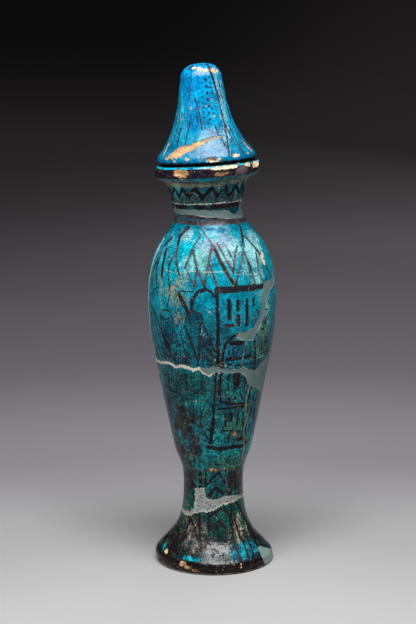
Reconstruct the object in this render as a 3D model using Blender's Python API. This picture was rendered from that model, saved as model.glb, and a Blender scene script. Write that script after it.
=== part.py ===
"""Hes vase of blue-glazed faience with its bell-shaped lid.

The vase is one fired piece: a spreading foot, a narrow stem, a tall body that swells
to the shoulder, a short neck and an out-turned rim.  It is hollow from the mouth down
to the stem, and hollowed a little under the foot, so that it stands on a ring.  The
lid is a hollow bell that rests on the rim, and a short ring under it drops into the
mouth.  Metres, +Z up, the front faces -Y, and the origin is the middle of the foot's
underside, on the surface that the vase stands on.
"""
import math

import bmesh
import bpy
import numpy as np

MM = 0.001
SEGMENTS = 40

# Foot and stem
FOOT_RADIUS = 31.2 * MM
FOOT_EDGE = 7.0 * MM            # height of the foot's rolled edge
EDGE_ROLL_BELOW = 0.9 * MM      # how far the edge rounds in below its widest line
EDGE_ROLL_ABOVE = 3.0 * MM      # and above it
STEM_RADIUS = 15.8 * MM
STEM_HEIGHT = 49.5 * MM         # floor to the line where the body starts
STEM_TOP_RADIUS = 16.1 * MM     # the stem widens a little again under the body
FLARE_TOP = 43.5 * MM           # floor to the end of the foot's flare
STANDING_RING = 5.5 * MM        # width of the flat ring it stands on
RECESS_DEPTH = 6.0 * MM         # hollow under the foot

# Body
BODY_HEIGHT = 131.0 * MM        # from the stem's top to the foot of the neck
BELLY_RADIUS = 33.4 * MM
WALL = 5.0 * MM
FLOOR = 6.0 * MM                # thickness between the stem's top and the cavity

# Neck and rim
NECK_RADIUS = 17.4 * MM
NECK_HEIGHT = 20.0 * MM
RIM_RADIUS = 27.0 * MM
RIM_HEIGHT = 10.3 * MM          # from the neck's top to the seat of the lid
RIM_FALL = 1.3 * MM             # how far the rim's top slopes down to its edge
RIM_FLAT = 8.0 * MM             # width of the level seat round the mouth
MOUTH_LIP = 1.0 * MM            # rounding of the mouth's edge

# Lid
LID_RADIUS = 25.0 * MM
LID_HEIGHT = 48.8 * MM
LID_BAND = 2.4 * MM             # upright band round the lid's lower edge
LID_NECK_RADIUS = 11.4 * MM     # where the bell is slimmest, below its crown
LID_CROWN = 8.4 * MM            # height of the domed top
LID_CROWN_RADIUS = 10.7 * MM    # radius where that top starts
LID_WALL = 4.6 * MM
PLUG_LENGTH = 5.0 * MM          # the ring that drops into the mouth
PLUG_WALL = 3.2 * MM
PLUG_PLAY = 1.2 * MM            # room between that ring and the mouth
SEAT_GAP = 0.3 * MM

# The vase was raised by hand, and its neck, rim and foot are a little out of true
RIM_TILT = math.radians(3.3)    # the rim rises towards +X
NECK_SHIFT = -1.8 * MM          # the neck stands to the left of the body's axis
RIM_SHIFT = 0.4 * MM            # and the rim comes back a little
LID_SHIFT = -0.7 * MM           # from the middle of the rim
LID_BOW = -0.4 * MM             # the bell bends a little to the left half way up
FOOT_TILT = math.radians(-1.4)  # the foot's upper side rises towards -X
FOOT_SHIFT = 0.9 * MM           # the standing ring lies to the right of the axis

# Levels worked out from the sizes above
BODY_TOP = STEM_HEIGHT + BODY_HEIGHT
NECK_TOP = BODY_TOP + NECK_HEIGHT
SEAT = NECK_TOP + RIM_HEIGHT
MOUTH_RADIUS = NECK_RADIUS - WALL
BASE_RADIUS = FOOT_RADIUS - EDGE_ROLL_BELOW

# Chips: place round the piece (degrees, 0 at the front, + to the right), place up the
# piece, half width, half height and depth
RIM_EDGE_LEVEL = SEAT - 0.35 * RIM_HEIGHT
VASE_CHIPS = (
    (-34.0, RIM_EDGE_LEVEL, 8.5 * MM, 4.2 * MM, 1.1 * MM),
    (42.0, RIM_EDGE_LEVEL, 7.0 * MM, 4.0 * MM, 0.8 * MM),
    (64.0, SEAT - RIM_FALL, 6.0 * MM, 3.0 * MM, 1.2 * MM),
    (-56.0, 0.7 * FOOT_EDGE, 5.0 * MM, 3.0 * MM, 0.8 * MM),
    (-30.0, 0.6 * FOOT_EDGE, 6.0 * MM, 3.0 * MM, 0.9 * MM),
)
LID_CHIPS = (
    (-12.0, LID_HEIGHT - 0.22 * LID_CROWN, 6.0 * MM, 3.0 * MM, 0.9 * MM),
    (42.0, LID_HEIGHT - 0.45 * LID_CROWN, 4.5 * MM, 3.0 * MM, 0.8 * MM),
    (8.0, 0.6 * LID_BAND, 5.0 * MM, 2.2 * MM, 0.9 * MM),
)

GLAZE_BODY = (0.02, 0.28, 0.33, 1.0)
GLAZE_LID = (0.0, 0.33, 0.62, 1.0)


def slopes(steps, values):
    """Tangents of a cubic curve that never overshoots its points."""
    rise = np.diff(values) / steps
    tangents = np.empty(len(values))
    tangents[0], tangents[-1] = rise[0], rise[-1]
    for i in range(1, len(values) - 1):
        if rise[i - 1] * rise[i] <= 0.0:
            tangents[i] = 0.0
        else:
            a = 2.0 * steps[i] + steps[i - 1]
            b = steps[i] + 2.0 * steps[i - 1]
            tangents[i] = (a + b) / (a / rise[i - 1] + b / rise[i])
    return tangents


def curve_through(points, pieces):
    """Points along a smooth curve through the given ones, each gap cut in equal pieces."""
    points = np.array(points, dtype=float)
    steps = np.maximum(np.hypot(*np.diff(points, axis=0).T), 1e-9)
    tangents = np.stack([slopes(steps, points[:, 0]), slopes(steps, points[:, 1])], axis=1)
    curve = [tuple(points[0])]
    for i, step in enumerate(steps):
        for k in range(1, pieces + 1):
            t = k / pieces
            start = (1 + 2 * t) * (1 - t) ** 2 * points[i] + t * (1 - t) ** 2 * step * tangents[i]
            end = t * t * (3 - 2 * t) * points[i + 1] + t * t * (t - 1) * step * tangents[i + 1]
            curve.append(tuple(start + end))
    return curve


def arc(center, radii, start, end, pieces):
    """Points on a quarter or half ellipse, from one angle to the other, both included."""
    angles = np.linspace(math.radians(start), math.radians(end), pieces + 1)
    return [(center[0] + radii[0] * math.cos(a), center[1] + radii[1] * math.sin(a))
            for a in angles]


def mix(low, high, share):
    return low + (high - low) * share


def inner_side(outline, wall):
    """The outline moved in by the wall, along its own normals."""
    outline = np.array(outline)
    along = np.gradient(outline, axis=0)
    along /= np.linalg.norm(along, axis=1)[:, None]
    moved = outline + wall * np.stack([-along[:, 1], along[:, 0]], axis=1)
    return [tuple(point) for point in moved]


def foot_outline():
    """Up from the standing ring, over the rolled edge and the flare, to the stem's top."""
    middle = FOOT_EDGE / 2
    below = arc((BASE_RADIUS, middle), (EDGE_ROLL_BELOW, middle), -90, 0, 3)
    above = arc((FOOT_RADIUS - EDGE_ROLL_ABOVE, middle), (EDGE_ROLL_ABOVE, middle), 0, 60, 3)
    edge_radius, edge_level = above[-1]
    # shares of the way up the flare, and of its spread that is left there
    flare = ((0.10, 0.78), (0.235, 0.455), (0.39, 0.22), (0.56, 0.085), (0.77, 0.015), (0.97, 0.0))
    points = [(edge_radius, edge_level)]
    for up, spread in flare:
        points.append((mix(STEM_RADIUS, edge_radius, spread),
                       mix(edge_level, FLARE_TOP, up)))
    points.append((STEM_TOP_RADIUS, STEM_HEIGHT))
    return below + above[1:-1] + curve_through(points, 2)


def body_outline():
    """Up from the stem, over the belly and the shoulder, to the foot of the neck."""
    # shares of the body's height, and of the spread from the stem to the belly
    lower = ((0.038, 0.115), (0.084, 0.24), (0.195, 0.42), (0.345, 0.645), (0.50, 0.87),
             (0.60, 0.97), (0.69, 1.0))
    # shares of the body's height, and of the spread from the neck to the belly
    upper = ((0.76, 0.965), (0.83, 0.87), (0.885, 0.71), (0.935, 0.44), (0.966, 0.215),
             (0.99, 0.085), (1.01, 0.02))
    points = [(STEM_TOP_RADIUS, STEM_HEIGHT)]
    points += [(mix(STEM_RADIUS, BELLY_RADIUS, spread), STEM_HEIGHT + up * BODY_HEIGHT)
               for up, spread in lower]
    points += [(mix(NECK_RADIUS, BELLY_RADIUS, spread), STEM_HEIGHT + up * BODY_HEIGHT)
               for up, spread in upper]
    return curve_through(points, 2)


def neck_outline():
    """Up the neck and out under the rim, round its edge and in to the lid's seat."""
    # shares of the neck's height, and of the spread from the neck to the rim
    under = ((0.30, 0.0), (0.60, 0.085), (0.88, 0.17), (1.03, 0.37))
    points = [(mix(NECK_RADIUS, RIM_RADIUS, spread), BODY_TOP + up * NECK_HEIGHT)
              for up, spread in under]
    edge = ((0.25, 0.74), (0.45, 0.975), (0.60, 1.0), (0.76, 0.985), (0.87, 0.90))
    points += [(mix(NECK_RADIUS, RIM_RADIUS, spread), NECK_TOP + up * RIM_HEIGHT)
               for up, spread in edge]
    points.append((mix(MOUTH_RADIUS + RIM_FLAT, RIM_RADIUS, 0.35), SEAT - 0.25 * RIM_FALL))
    points.append((MOUTH_RADIUS + RIM_FLAT, SEAT))
    return curve_through(points, 1)


def cavity_outline(body):
    """Down from the seat through the mouth and the neck, and inside the body to its floor."""
    floor = STEM_HEIGHT + FLOOR
    mouth = arc((MOUTH_RADIUS + MOUTH_LIP, SEAT - MOUTH_LIP), (MOUTH_LIP, MOUTH_LIP), 90, 180, 3)
    mouth.append((MOUTH_RADIUS, BODY_TOP + 0.25 * NECK_HEIGHT))
    side = [point for point in inner_side(body, WALL)
            if point[1] > floor + WALL and point[0] > MOUTH_RADIUS - 0.5 * WALL
            and point[1] < BODY_TOP - 0.5 * WALL]
    side = side[::-3]
    low_radius, low_level = side[-1]
    bowl = arc((0.0, low_level), (low_radius, low_level - floor), 0, -90, 6)
    return mouth + side + bowl[1:-1] + [(0.0, floor)]


def vase_outline():
    """The whole half section, from the middle of the underside to the cavity's floor."""
    recess_radius = BASE_RADIUS - STANDING_RING
    recess = arc((0.0, 0.0), (recess_radius, RECESS_DEPTH), 90, 0, 6)
    recess[0] = (0.0, RECESS_DEPTH)
    foot, body, neck = foot_outline(), body_outline(), neck_outline()
    return recess + foot + body[1:] + neck + cavity_outline(body)


def lid_outline():
    """The lid's half section, in its own frame: its seat is at z = 0."""
    bore = MOUTH_RADIUS - PLUG_PLAY - PLUG_WALL
    plug = MOUTH_RADIUS - PLUG_PLAY
    crown_start = LID_HEIGHT - LID_CROWN
    # shares of the way from the band to the crown, and of the bell's spread left there
    flare = ((0.035, 0.945), (0.10, 0.80), (0.165, 0.67), (0.23, 0.56), (0.36, 0.375),
             (0.515, 0.225), (0.72, 0.075), (0.88, 0.01))
    bell = [(LID_RADIUS, LID_BAND)]
    bell += [(mix(LID_NECK_RADIUS, LID_RADIUS, spread), mix(LID_BAND, crown_start, up))
             for up, spread in flare]
    bell = curve_through(bell + [(LID_CROWN_RADIUS, crown_start)], 2)
    crown = arc((0.0, crown_start), (LID_CROWN_RADIUS, LID_CROWN), 0, 90, 6)
    underside = [(bore, -PLUG_LENGTH), (plug, -PLUG_LENGTH), (plug, 0.0), (LID_RADIUS, 0.0)]
    hollow = [point for point in inner_side(bell, LID_WALL) if point[1] > LID_WALL + LID_BAND]
    low_radius = hollow[0][0]
    hollow = [(bore, LID_WALL), (low_radius, LID_WALL)] + hollow[::2]
    top_radius, top_level = hollow[-1]
    dome = arc((0.0, top_level), (top_radius, LID_HEIGHT - LID_WALL - top_level), 0, 90, 4)
    inside = hollow[:-1] + dome[:-1] + [(0.0, LID_HEIGHT - LID_WALL)]
    return inside[::-1] + underside + bell + crown[1:-1] + [(0.0, LID_HEIGHT)]


def smooth_step(value, low, high):
    share = min(max((value - low) / (high - low), 0.0), 1.0)
    return share * share * (3.0 - 2.0 * share)


def vase_lean(level):
    """Sideways shift and tilt of the ring at this level."""
    up_neck = smooth_step(level, BODY_TOP - 0.3 * NECK_HEIGHT, BODY_TOP + 0.4 * NECK_HEIGHT)
    up_rim = smooth_step(level, BODY_TOP - 0.3 * NECK_HEIGHT, NECK_TOP)
    in_foot = smooth_step(level, 0.0, FOOT_EDGE) - smooth_step(level, 2 * FOOT_EDGE, 4 * FOOT_EDGE)
    at_base = 1.0 - smooth_step(level, 0.0, 0.5 * FOOT_EDGE)
    at_rim = smooth_step(level, BODY_TOP + 0.5 * NECK_HEIGHT, NECK_TOP)
    return (NECK_SHIFT * up_neck + RIM_SHIFT * at_rim + FOOT_SHIFT * at_base,
            RIM_TILT * up_rim + FOOT_TILT * in_foot)


def lid_lean(level):
    """The same for the lid, in its own frame."""
    share = min(max(level / LID_HEIGHT, 0.0), 1.0)
    return (LID_BOW * math.sin(math.pi * share), 0.0)


def chip_depth(chips, angle, radius, level, outer):
    """How far the surface is knocked in at a point on the outer side."""
    depth = 0.0
    if outer:
        for place, height, half_width, half_height, deep in chips:
            away = math.remainder(angle - math.radians(place - 90.0), 2.0 * math.pi)
            reach = (away * radius / half_width) ** 2 + ((level - height) / half_height) ** 2
            depth = max(depth, deep * max(0.0, 1.0 - reach))
    return depth


def turned(name, outline, outer_span, chips, lean):
    """One closed mesh: the half section turned round the leaning axis, with its chips."""
    mesh = bpy.data.meshes.new(name)
    shape = bmesh.new()
    rings = []
    for index, (radius, level) in enumerate(outline):
        shift, tilt = lean(level)
        if radius < 1e-7:
            rings.append([shape.verts.new((shift, 0.0, level))])
            continue
        outer = outer_span[0] <= index <= outer_span[1]
        ring = []
        for k in range(SEGMENTS):
            angle = 2.0 * math.pi * k / SEGMENTS
            reach = radius - chip_depth(chips, angle, radius, level, outer)
            side = reach * math.cos(angle)
            ring.append(shape.verts.new((shift + side * math.cos(tilt), reach * math.sin(angle),
                                         level + side * math.sin(tilt))))
        rings.append(ring)
    for low, high in zip(rings, rings[1:]):
        for k in range(SEGMENTS):
            corners = [low[k % len(low)], low[(k + 1) % len(low)],
                       high[(k + 1) % len(high)], high[k % len(high)]]
            shape.faces.new(dict.fromkeys(corners))
    bmesh.ops.recalc_face_normals(shape, faces=shape.faces)
    shape.to_mesh(mesh)
    shape.free()
    mesh.shade_smooth()
    mesh.set_sharp_from_angle(angle=math.radians(35.0))
    return mesh


def glaze(name, color, roughness):
    material = bpy.data.materials.new(name)
    material.use_nodes = True
    shader = material.node_tree.nodes["Principled BSDF"]
    shader.inputs["Base Color"].default_value = color
    shader.inputs["Roughness"].default_value = roughness
    shader.inputs["Metallic"].default_value = 0.0
    return material


def add_piece(name, mesh, material):
    piece = bpy.data.objects.new(name, mesh)
    mesh.materials.append(material)
    bpy.context.scene.collection.objects.link(piece)
    return piece


def outer_part(outline, first, last):
    """Where the outer side starts and ends in the list of points."""
    return outline.index(first), len(outline) - 1 - outline[::-1].index(last)


def make_vase():
    outline = vase_outline()
    span = outer_part(outline, foot_outline()[1], neck_outline()[-2])
    mesh = turned("vase", outline, span, VASE_CHIPS, vase_lean)
    add_piece("vase", mesh, glaze("faience_glaze", GLAZE_BODY, 0.3))


def make_lid():
    outline = lid_outline()
    span = outer_part(outline, (LID_RADIUS, LID_BAND), outline[-2])
    mesh = turned("lid", outline, span, LID_CHIPS, lid_lean)
    lid = add_piece("lid", mesh, glaze("lid_glaze", GLAZE_LID, 0.25))
    rim_shift, rim_tilt = vase_lean(SEAT)
    lid.location = (rim_shift + LID_SHIFT - SEAT_GAP * math.sin(rim_tilt), 0.0,
                    SEAT + LID_SHIFT * math.tan(rim_tilt) + SEAT_GAP * math.cos(rim_tilt))
    lid.rotation_euler = (0.0, -rim_tilt, 0.0)


def main():
    for old in list(bpy.data.objects):
        bpy.data.objects.remove(old)
    make_vase()
    make_lid()


main()
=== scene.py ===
"""The looks of a hes vase: blue-glazed faience, painted, cracked and mended, and its lid.

Metres, +Z up, the front faces -Y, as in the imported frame.  A place on the glaze is
written in millimetres: round the piece from the middle of its front, + to the right,
then the level, above the floor on the vase and above its seat on the lid.
"""
import math

import bmesh
import bpy
import numpy as np
from mathutils import Matrix, Vector, noise


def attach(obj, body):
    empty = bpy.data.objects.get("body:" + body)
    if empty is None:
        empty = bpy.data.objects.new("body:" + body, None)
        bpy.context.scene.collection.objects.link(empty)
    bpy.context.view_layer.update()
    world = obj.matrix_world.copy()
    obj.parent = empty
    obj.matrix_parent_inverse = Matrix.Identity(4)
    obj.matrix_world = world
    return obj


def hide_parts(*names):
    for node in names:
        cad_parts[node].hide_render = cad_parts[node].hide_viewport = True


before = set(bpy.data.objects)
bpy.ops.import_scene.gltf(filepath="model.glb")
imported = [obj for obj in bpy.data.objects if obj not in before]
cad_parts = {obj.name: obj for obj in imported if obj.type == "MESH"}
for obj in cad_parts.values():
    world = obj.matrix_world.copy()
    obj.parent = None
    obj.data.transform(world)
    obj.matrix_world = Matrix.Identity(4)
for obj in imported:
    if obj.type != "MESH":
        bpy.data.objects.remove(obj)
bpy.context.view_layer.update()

MM = 0.001

# Sizes of the turned forms, in millimetres, as in the part itself.  Only the shifts of the
# neck and the rim and the fullness of the lid's crown are set more closely here.
FOOT_RADIUS = 31.2
FOOT_EDGE = 7.0
EDGE_ROLL_BELOW = 0.9
EDGE_ROLL_ABOVE = 3.0
STEM_RADIUS = 15.8
STEM_HEIGHT = 49.5
STEM_TOP_RADIUS = 16.1
FLARE_TOP = 43.5
STANDING_RING = 5.5
RECESS_DEPTH = 6.0
BODY_HEIGHT = 131.0
BELLY_RADIUS = 33.4
WALL = 5.0
FLOOR = 6.0
NECK_RADIUS = 17.4
NECK_HEIGHT = 20.0
RIM_RADIUS = 27.0
RIM_HEIGHT = 10.3
RIM_FALL = 1.3
RIM_FLAT = 8.0
MOUTH_LIP = 1.0
LID_RADIUS = 25.0
LID_HEIGHT = 48.8
LID_BAND = 2.4
LID_NECK_RADIUS = 11.4
LID_CROWN = 8.4
LID_CROWN_RADIUS = 10.7
CROWN_FULLNESS = 2.35           # 2 domes the crown as an ellipse, more squares its shoulder
LID_WALL = 4.6
PLUG_LENGTH = 5.0
PLUG_WALL = 3.2
PLUG_PLAY = 1.2
SEAT_GAP = 0.3
RIM_TILT = math.radians(3.3)
NECK_SHIFT = -2.1
RIM_SHIFT = 0.7
LID_SHIFT = -0.7
LID_BOW = -0.4
FOOT_TILT = math.radians(-1.4)
FOOT_SHIFT = 0.9

BODY_TOP = STEM_HEIGHT + BODY_HEIGHT
NECK_TOP = BODY_TOP + NECK_HEIGHT
SEAT = NECK_TOP + RIM_HEIGHT
MOUTH_RADIUS = NECK_RADIUS - WALL
BASE_RADIUS = FOOT_RADIUS - EDGE_ROLL_BELOW

# How finely the surfaces are cut: spacings in millimetres
CURVE_PIECES = 12
VASE_SPACING = 0.78
LID_SPACING = 0.44
HIDDEN_SPACING = 3.5
VASE_SEGMENTS = 270
LID_SEGMENTS = 320
FRONT_DENSITY = 0.4             # 0 spaces the segments evenly, 0.4 crowds them at the front

# The glaze's shine and tone
GLAZE_IOR = 1.31                # weathered glaze mirrors less than fresh glass
GLAZE_SPECULAR = 0.30
MATT_ROUGHNESS = 0.6            # what is added where paint, the painted sheen or plaster takes the shine
BUMP_DEPTH = 0.3
TRUE_TONE = 0.62                # takes the colours below, as they look lit, back to the glaze's own

# Glaze colours by level
VASE_SHADES = (
    (2, (0.018, 0.014, 0.011)), (9, (0.012, 0.048, 0.046)), (16, (0.012, 0.042, 0.034)),
    (30, (0.006, 0.100, 0.088)), (46, (0.004, 0.125, 0.135)), (52, (0.004, 0.180, 0.190)),
    (62, (0.003, 0.250, 0.270)), (80, (0.003, 0.170, 0.185)), (100, (0.003, 0.160, 0.175)),
    (116, (0.002, 0.160, 0.210)), (130, (0.002, 0.185, 0.250)), (146, (0.001, 0.300, 0.405)),
    (158, (0.001, 0.350, 0.460)), (168, (0.001, 0.300, 0.410)), (178, (0.001, 0.240, 0.360)),
    (182, (0.008, 0.130, 0.150)),
    (190, (0.002, 0.085, 0.105)), (198, (0.002, 0.110, 0.140)), (207, (0.003, 0.180, 0.240)))
LID_SHADES = (
    (0, (0.000, 0.200, 0.430)), (3, (0.000, 0.260, 0.480)), (9, (0.001, 0.240, 0.430)),
    (16, (0.001, 0.360, 0.620)), (30, (0.000, 0.380, 0.740)), (42, (0.000, 0.370, 0.780)),
    (48, (0.002, 0.360, 0.780)))


# Outlines

def slopes(steps, values):
    """Tangents of a cubic curve that never overshoots its points."""
    rise = np.diff(values) / steps
    tangents = np.empty(len(values))
    tangents[0], tangents[-1] = rise[0], rise[-1]
    for i in range(1, len(values) - 1):
        if rise[i - 1] * rise[i] <= 0.0:
            tangents[i] = 0.0
        else:
            a = 2.0 * steps[i] + steps[i - 1]
            b = steps[i] + 2.0 * steps[i - 1]
            tangents[i] = (a + b) / (a / rise[i - 1] + b / rise[i])
    return tangents


def curve_through(points, pieces=CURVE_PIECES):
    """Points along a smooth curve through the given ones, each gap cut in equal pieces."""
    points = np.array(points, dtype=float)
    steps = np.maximum(np.hypot(*np.diff(points, axis=0).T), 1e-6)
    tangents = np.stack([slopes(steps, points[:, 0]), slopes(steps, points[:, 1])], axis=1)
    curve = [tuple(points[0])]
    for i, step in enumerate(steps):
        for k in range(1, pieces + 1):
            t = k / pieces
            start = (1 + 2 * t) * (1 - t) ** 2 * points[i] + t * (1 - t) ** 2 * step * tangents[i]
            end = t * t * (3 - 2 * t) * points[i + 1] + t * t * (t - 1) * step * tangents[i + 1]
            curve.append(tuple(start + end))
    return curve


def arc(center, radii, start, end, pieces=24):
    angles = np.linspace(math.radians(start), math.radians(end), pieces + 1)
    return [(center[0] + radii[0] * math.cos(a), center[1] + radii[1] * math.sin(a))
            for a in angles]


def mix(low, high, share):
    return low + (high - low) * share


def spread_points(shares, radii, levels):
    """Points at shares of the way between two levels and between two radii."""
    return [(mix(*radii, spread), mix(*levels, up)) for up, spread in shares]


def foot_outline():
    middle = FOOT_EDGE / 2
    below = arc((BASE_RADIUS, middle), (EDGE_ROLL_BELOW, middle), -90, 0)
    above = arc((FOOT_RADIUS - EDGE_ROLL_ABOVE, middle), (EDGE_ROLL_ABOVE, middle), 0, 60)
    edge_radius, edge_level = above[-1]
    flare = ((0.10, 0.78), (0.235, 0.455), (0.39, 0.22), (0.56, 0.085), (0.77, 0.015), (0.97, 0.0))
    points = [above[-1]] + spread_points(flare, (STEM_RADIUS, edge_radius), (edge_level, FLARE_TOP))
    return below + above[1:-1] + curve_through(points + [(STEM_TOP_RADIUS, STEM_HEIGHT)])


def body_outline():
    lower = ((0.038, 0.115), (0.084, 0.24), (0.195, 0.42), (0.345, 0.645), (0.50, 0.87),
             (0.60, 0.97), (0.69, 1.0))
    upper = ((0.76, 0.965), (0.83, 0.87), (0.885, 0.71), (0.935, 0.465), (0.966, 0.245),
             (0.99, 0.10), (1.01, 0.02))
    levels = (STEM_HEIGHT, BODY_TOP)
    points = [(STEM_TOP_RADIUS, STEM_HEIGHT)]
    points += spread_points(lower, (STEM_RADIUS, BELLY_RADIUS), levels)
    points += spread_points(upper, (NECK_RADIUS, BELLY_RADIUS), levels)
    return curve_through(points)


def neck_outline():
    under = ((0.30, 0.01), (0.60, 0.15), (0.88, 0.28), (1.03, 0.46))
    edge = ((0.14, 0.70), (0.29, 0.93), (0.46, 1.01), (0.62, 1.02), (0.76, 0.99), (0.87, 0.90))
    radii = (NECK_RADIUS, RIM_RADIUS)
    points = spread_points(under, radii, (BODY_TOP, NECK_TOP))
    points += spread_points(edge, radii, (NECK_TOP, SEAT))
    points.append((mix(MOUTH_RADIUS + RIM_FLAT, RIM_RADIUS, 0.35), SEAT - 0.25 * RIM_FALL))
    points.append((MOUTH_RADIUS + RIM_FLAT, SEAT))
    return curve_through(points)


def lid_bell_outline():
    crown_start = LID_HEIGHT - LID_CROWN
    flare = ((0.035, 0.945), (0.10, 0.80), (0.165, 0.67), (0.23, 0.56), (0.36, 0.375),
             (0.515, 0.225), (0.72, 0.075), (0.88, 0.01))
    points = [(LID_RADIUS, LID_BAND)]
    points += spread_points(flare, (LID_NECK_RADIUS, LID_RADIUS), (LID_BAND, crown_start))
    return curve_through(points + [(LID_CROWN_RADIUS, crown_start)])


def inner_side(outline, wall):
    """The outline moved in by the wall, along its own normals."""
    outline = np.array(outline)
    along = np.gradient(outline, axis=0)
    along /= np.linalg.norm(along, axis=1)[:, None]
    return [tuple(p) for p in outline + wall * np.stack([-along[:, 1], along[:, 0]], axis=1)]


def vase_hidden_parts(body):
    """The hollow under the foot, and the cavity from the seat down to its floor."""
    floor = STEM_HEIGHT + FLOOR
    recess_radius = BASE_RADIUS - STANDING_RING
    recess = arc((0.0, 0.0), (recess_radius, RECESS_DEPTH), 90, 0)
    recess[0] = (0.0, RECESS_DEPTH)
    mouth = arc((MOUTH_RADIUS + MOUTH_LIP, SEAT - MOUTH_LIP), (MOUTH_LIP, MOUTH_LIP), 90, 180)
    mouth.append((MOUTH_RADIUS, BODY_TOP + 0.25 * NECK_HEIGHT))
    side = [point for point in inner_side(body, WALL)
            if floor + WALL < point[1] < BODY_TOP - 0.5 * WALL and point[0] > MOUTH_RADIUS - 0.5 * WALL]
    low_radius, low_level = side[0]
    bowl = arc((0.0, low_level), (low_radius, low_level - floor), 0, -90)
    return recess, mouth + side[::-1] + bowl[1:-1] + [(0.0, floor)]


def lid_hidden_part(bell):
    """The hollow inside the bell, and the ring under the lid."""
    bore = MOUTH_RADIUS - PLUG_PLAY - PLUG_WALL
    plug = MOUTH_RADIUS - PLUG_PLAY
    hollow = [point for point in inner_side(bell, LID_WALL) if point[1] > LID_WALL + LID_BAND]
    top_radius, top_level = hollow[-1]
    dome = arc((0.0, top_level), (top_radius, LID_HEIGHT - LID_WALL - top_level), 0, 90)
    inside = [(bore, LID_WALL), (hollow[0][0], LID_WALL)] + hollow[:-1] + dome[:-1]
    underside = [(bore, -PLUG_LENGTH), (plug, -PLUG_LENGTH), (plug, 0.0), (LID_RADIUS, 0.0)]
    return (inside + [(0.0, LID_HEIGHT - LID_WALL)])[::-1] + underside


def even_spaced(outline, spacing):
    """The outline with its points spaced evenly, and the distance along it at each."""
    steps = np.hypot(*np.diff(np.array(outline), axis=0).T)
    run = np.concatenate([[0.0], np.cumsum(steps)])
    at = np.linspace(0.0, run[-1], max(3, round(run[-1] / spacing) + 1))
    points = [np.interp(at, run, [point[k] for point in outline]) for k in (0, 1)]
    return np.stack(points, axis=1), at


def smooth_step(value, low, high):
    share = np.clip((value - low) / (high - low), 0.0, 1.0)
    return share * share * (3.0 - 2.0 * share)


def vase_lean(level):
    """Sideways shift and tilt of the ring at this level."""
    up_neck = smooth_step(level, BODY_TOP - 0.3 * NECK_HEIGHT, BODY_TOP + 0.4 * NECK_HEIGHT)
    up_rim = smooth_step(level, BODY_TOP - 0.3 * NECK_HEIGHT, NECK_TOP)
    in_foot = smooth_step(level, 0.0, FOOT_EDGE) - smooth_step(level, 2 * FOOT_EDGE, 4 * FOOT_EDGE)
    at_base = 1.0 - smooth_step(level, 0.0, 0.5 * FOOT_EDGE)
    at_rim = smooth_step(level, NECK_TOP, SEAT)
    return (NECK_SHIFT * up_neck + RIM_SHIFT * at_rim + FOOT_SHIFT * at_base,
            RIM_TILT * up_rim + FOOT_TILT * in_foot)


def lid_lean(level):
    share = np.clip(level / LID_HEIGHT, 0.0, 1.0)
    return LID_BOW * np.sin(math.pi * share), np.zeros_like(level)


class Profile:
    """A half section: its points, and where its outer side runs."""

    def __init__(self, before, outer, after, spacing, lean):
        outer_points, self.outer_run = even_spaced(outer, spacing)
        self.outer_level = outer_points[:, 1]
        parts = [(even_spaced(before, HIDDEN_SPACING)[0], 0.0, 0.0),
                 (outer_points[1:], self.outer_run[1:], 1.0)]
        if after:
            hidden = even_spaced(after, HIDDEN_SPACING)[0]
            parts.append((hidden[1:], self.outer_run[-1], 0.0))
        self.points = np.concatenate([points for points, _, _ in parts])
        self.run = np.concatenate([np.zeros(len(points)) + run for points, run, _ in parts])
        self.shown = np.concatenate([np.full(len(points), shown) for points, _, shown in parts])
        self.shift, self.tilt = lean(self.points[:, 1])

    def run_at(self, level):
        """How far up the outer side a level is, measured along it."""
        return float(np.interp(level, self.outer_level, self.outer_run))


def vase_profile():
    body = body_outline()
    recess, cavity = vase_hidden_parts(body)
    outer = foot_outline() + body[1:] + neck_outline()
    return Profile(recess, outer, cavity, VASE_SPACING, vase_lean)


def lid_profile():
    bell = lid_bell_outline()
    crown = [(LID_CROWN_RADIUS * x ** (2 / CROWN_FULLNESS),
              LID_HEIGHT - LID_CROWN * (1.0 - z ** (2 / CROWN_FULLNESS)))
             for x, z in arc((0.0, 0.0), (1.0, 1.0), 0, 90)[1:-1]]
    outer = [(LID_RADIUS, 0.0)] + bell + crown + [(0.0, LID_HEIGHT)]
    return Profile(lid_hidden_part(bell), outer, [], LID_SPACING, lid_lean)


VASE = vase_profile()
LID = lid_profile()


# Node trees

class Field:
    """A value in a node tree, with plain arithmetic on it."""

    def __init__(self, tree, socket):
        self.tree, self.socket = tree, socket

    def through(self, kind, *others, out=0, **settings):
        """The value put through one more node, with the others in the sockets after it."""
        node = add_node(self.tree, kind, **settings)
        for socket, value in zip(node.inputs, (self, *others)):
            feed(socket, value)
        return Field(self.tree, node.outputs[out])

    def math(self, operation, *others):
        return self.through("ShaderNodeMath", *others, operation=operation)

    def vector(self, operation, *others, out=0):
        return self.through("ShaderNodeVectorMath", *others, out=out, operation=operation)

    def __add__(self, other):
        return self.math("ADD", other)

    def __sub__(self, other):
        return self.math("SUBTRACT", other)

    def __mul__(self, other):
        return self.math("MULTIPLY", other)

    __radd__, __rmul__ = __add__, __mul__

    def __rsub__(self, other):
        return self.math("MULTIPLY_ADD", -1.0, other)

    def scaled(self, factor):
        """A vector times a number."""
        node = add_node(self.tree, "ShaderNodeVectorMath", {"Scale": factor}, operation="SCALE")
        feed(node.inputs[0], self)
        return Field(self.tree, node.outputs[0])

    def smooth(self, low, high, start=0.0, end=1.0):
        """A soft step: start below low, end above high."""
        return self.through("ShaderNodeMapRange", low, high, start, end,
                            interpolation_type="SMOOTHSTEP", clamp=False)

    def parts(self):
        node = add_node(self.tree, "ShaderNodeSeparateXYZ", {"Vector": self})
        return [Field(self.tree, socket) for socket in node.outputs]


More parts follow.
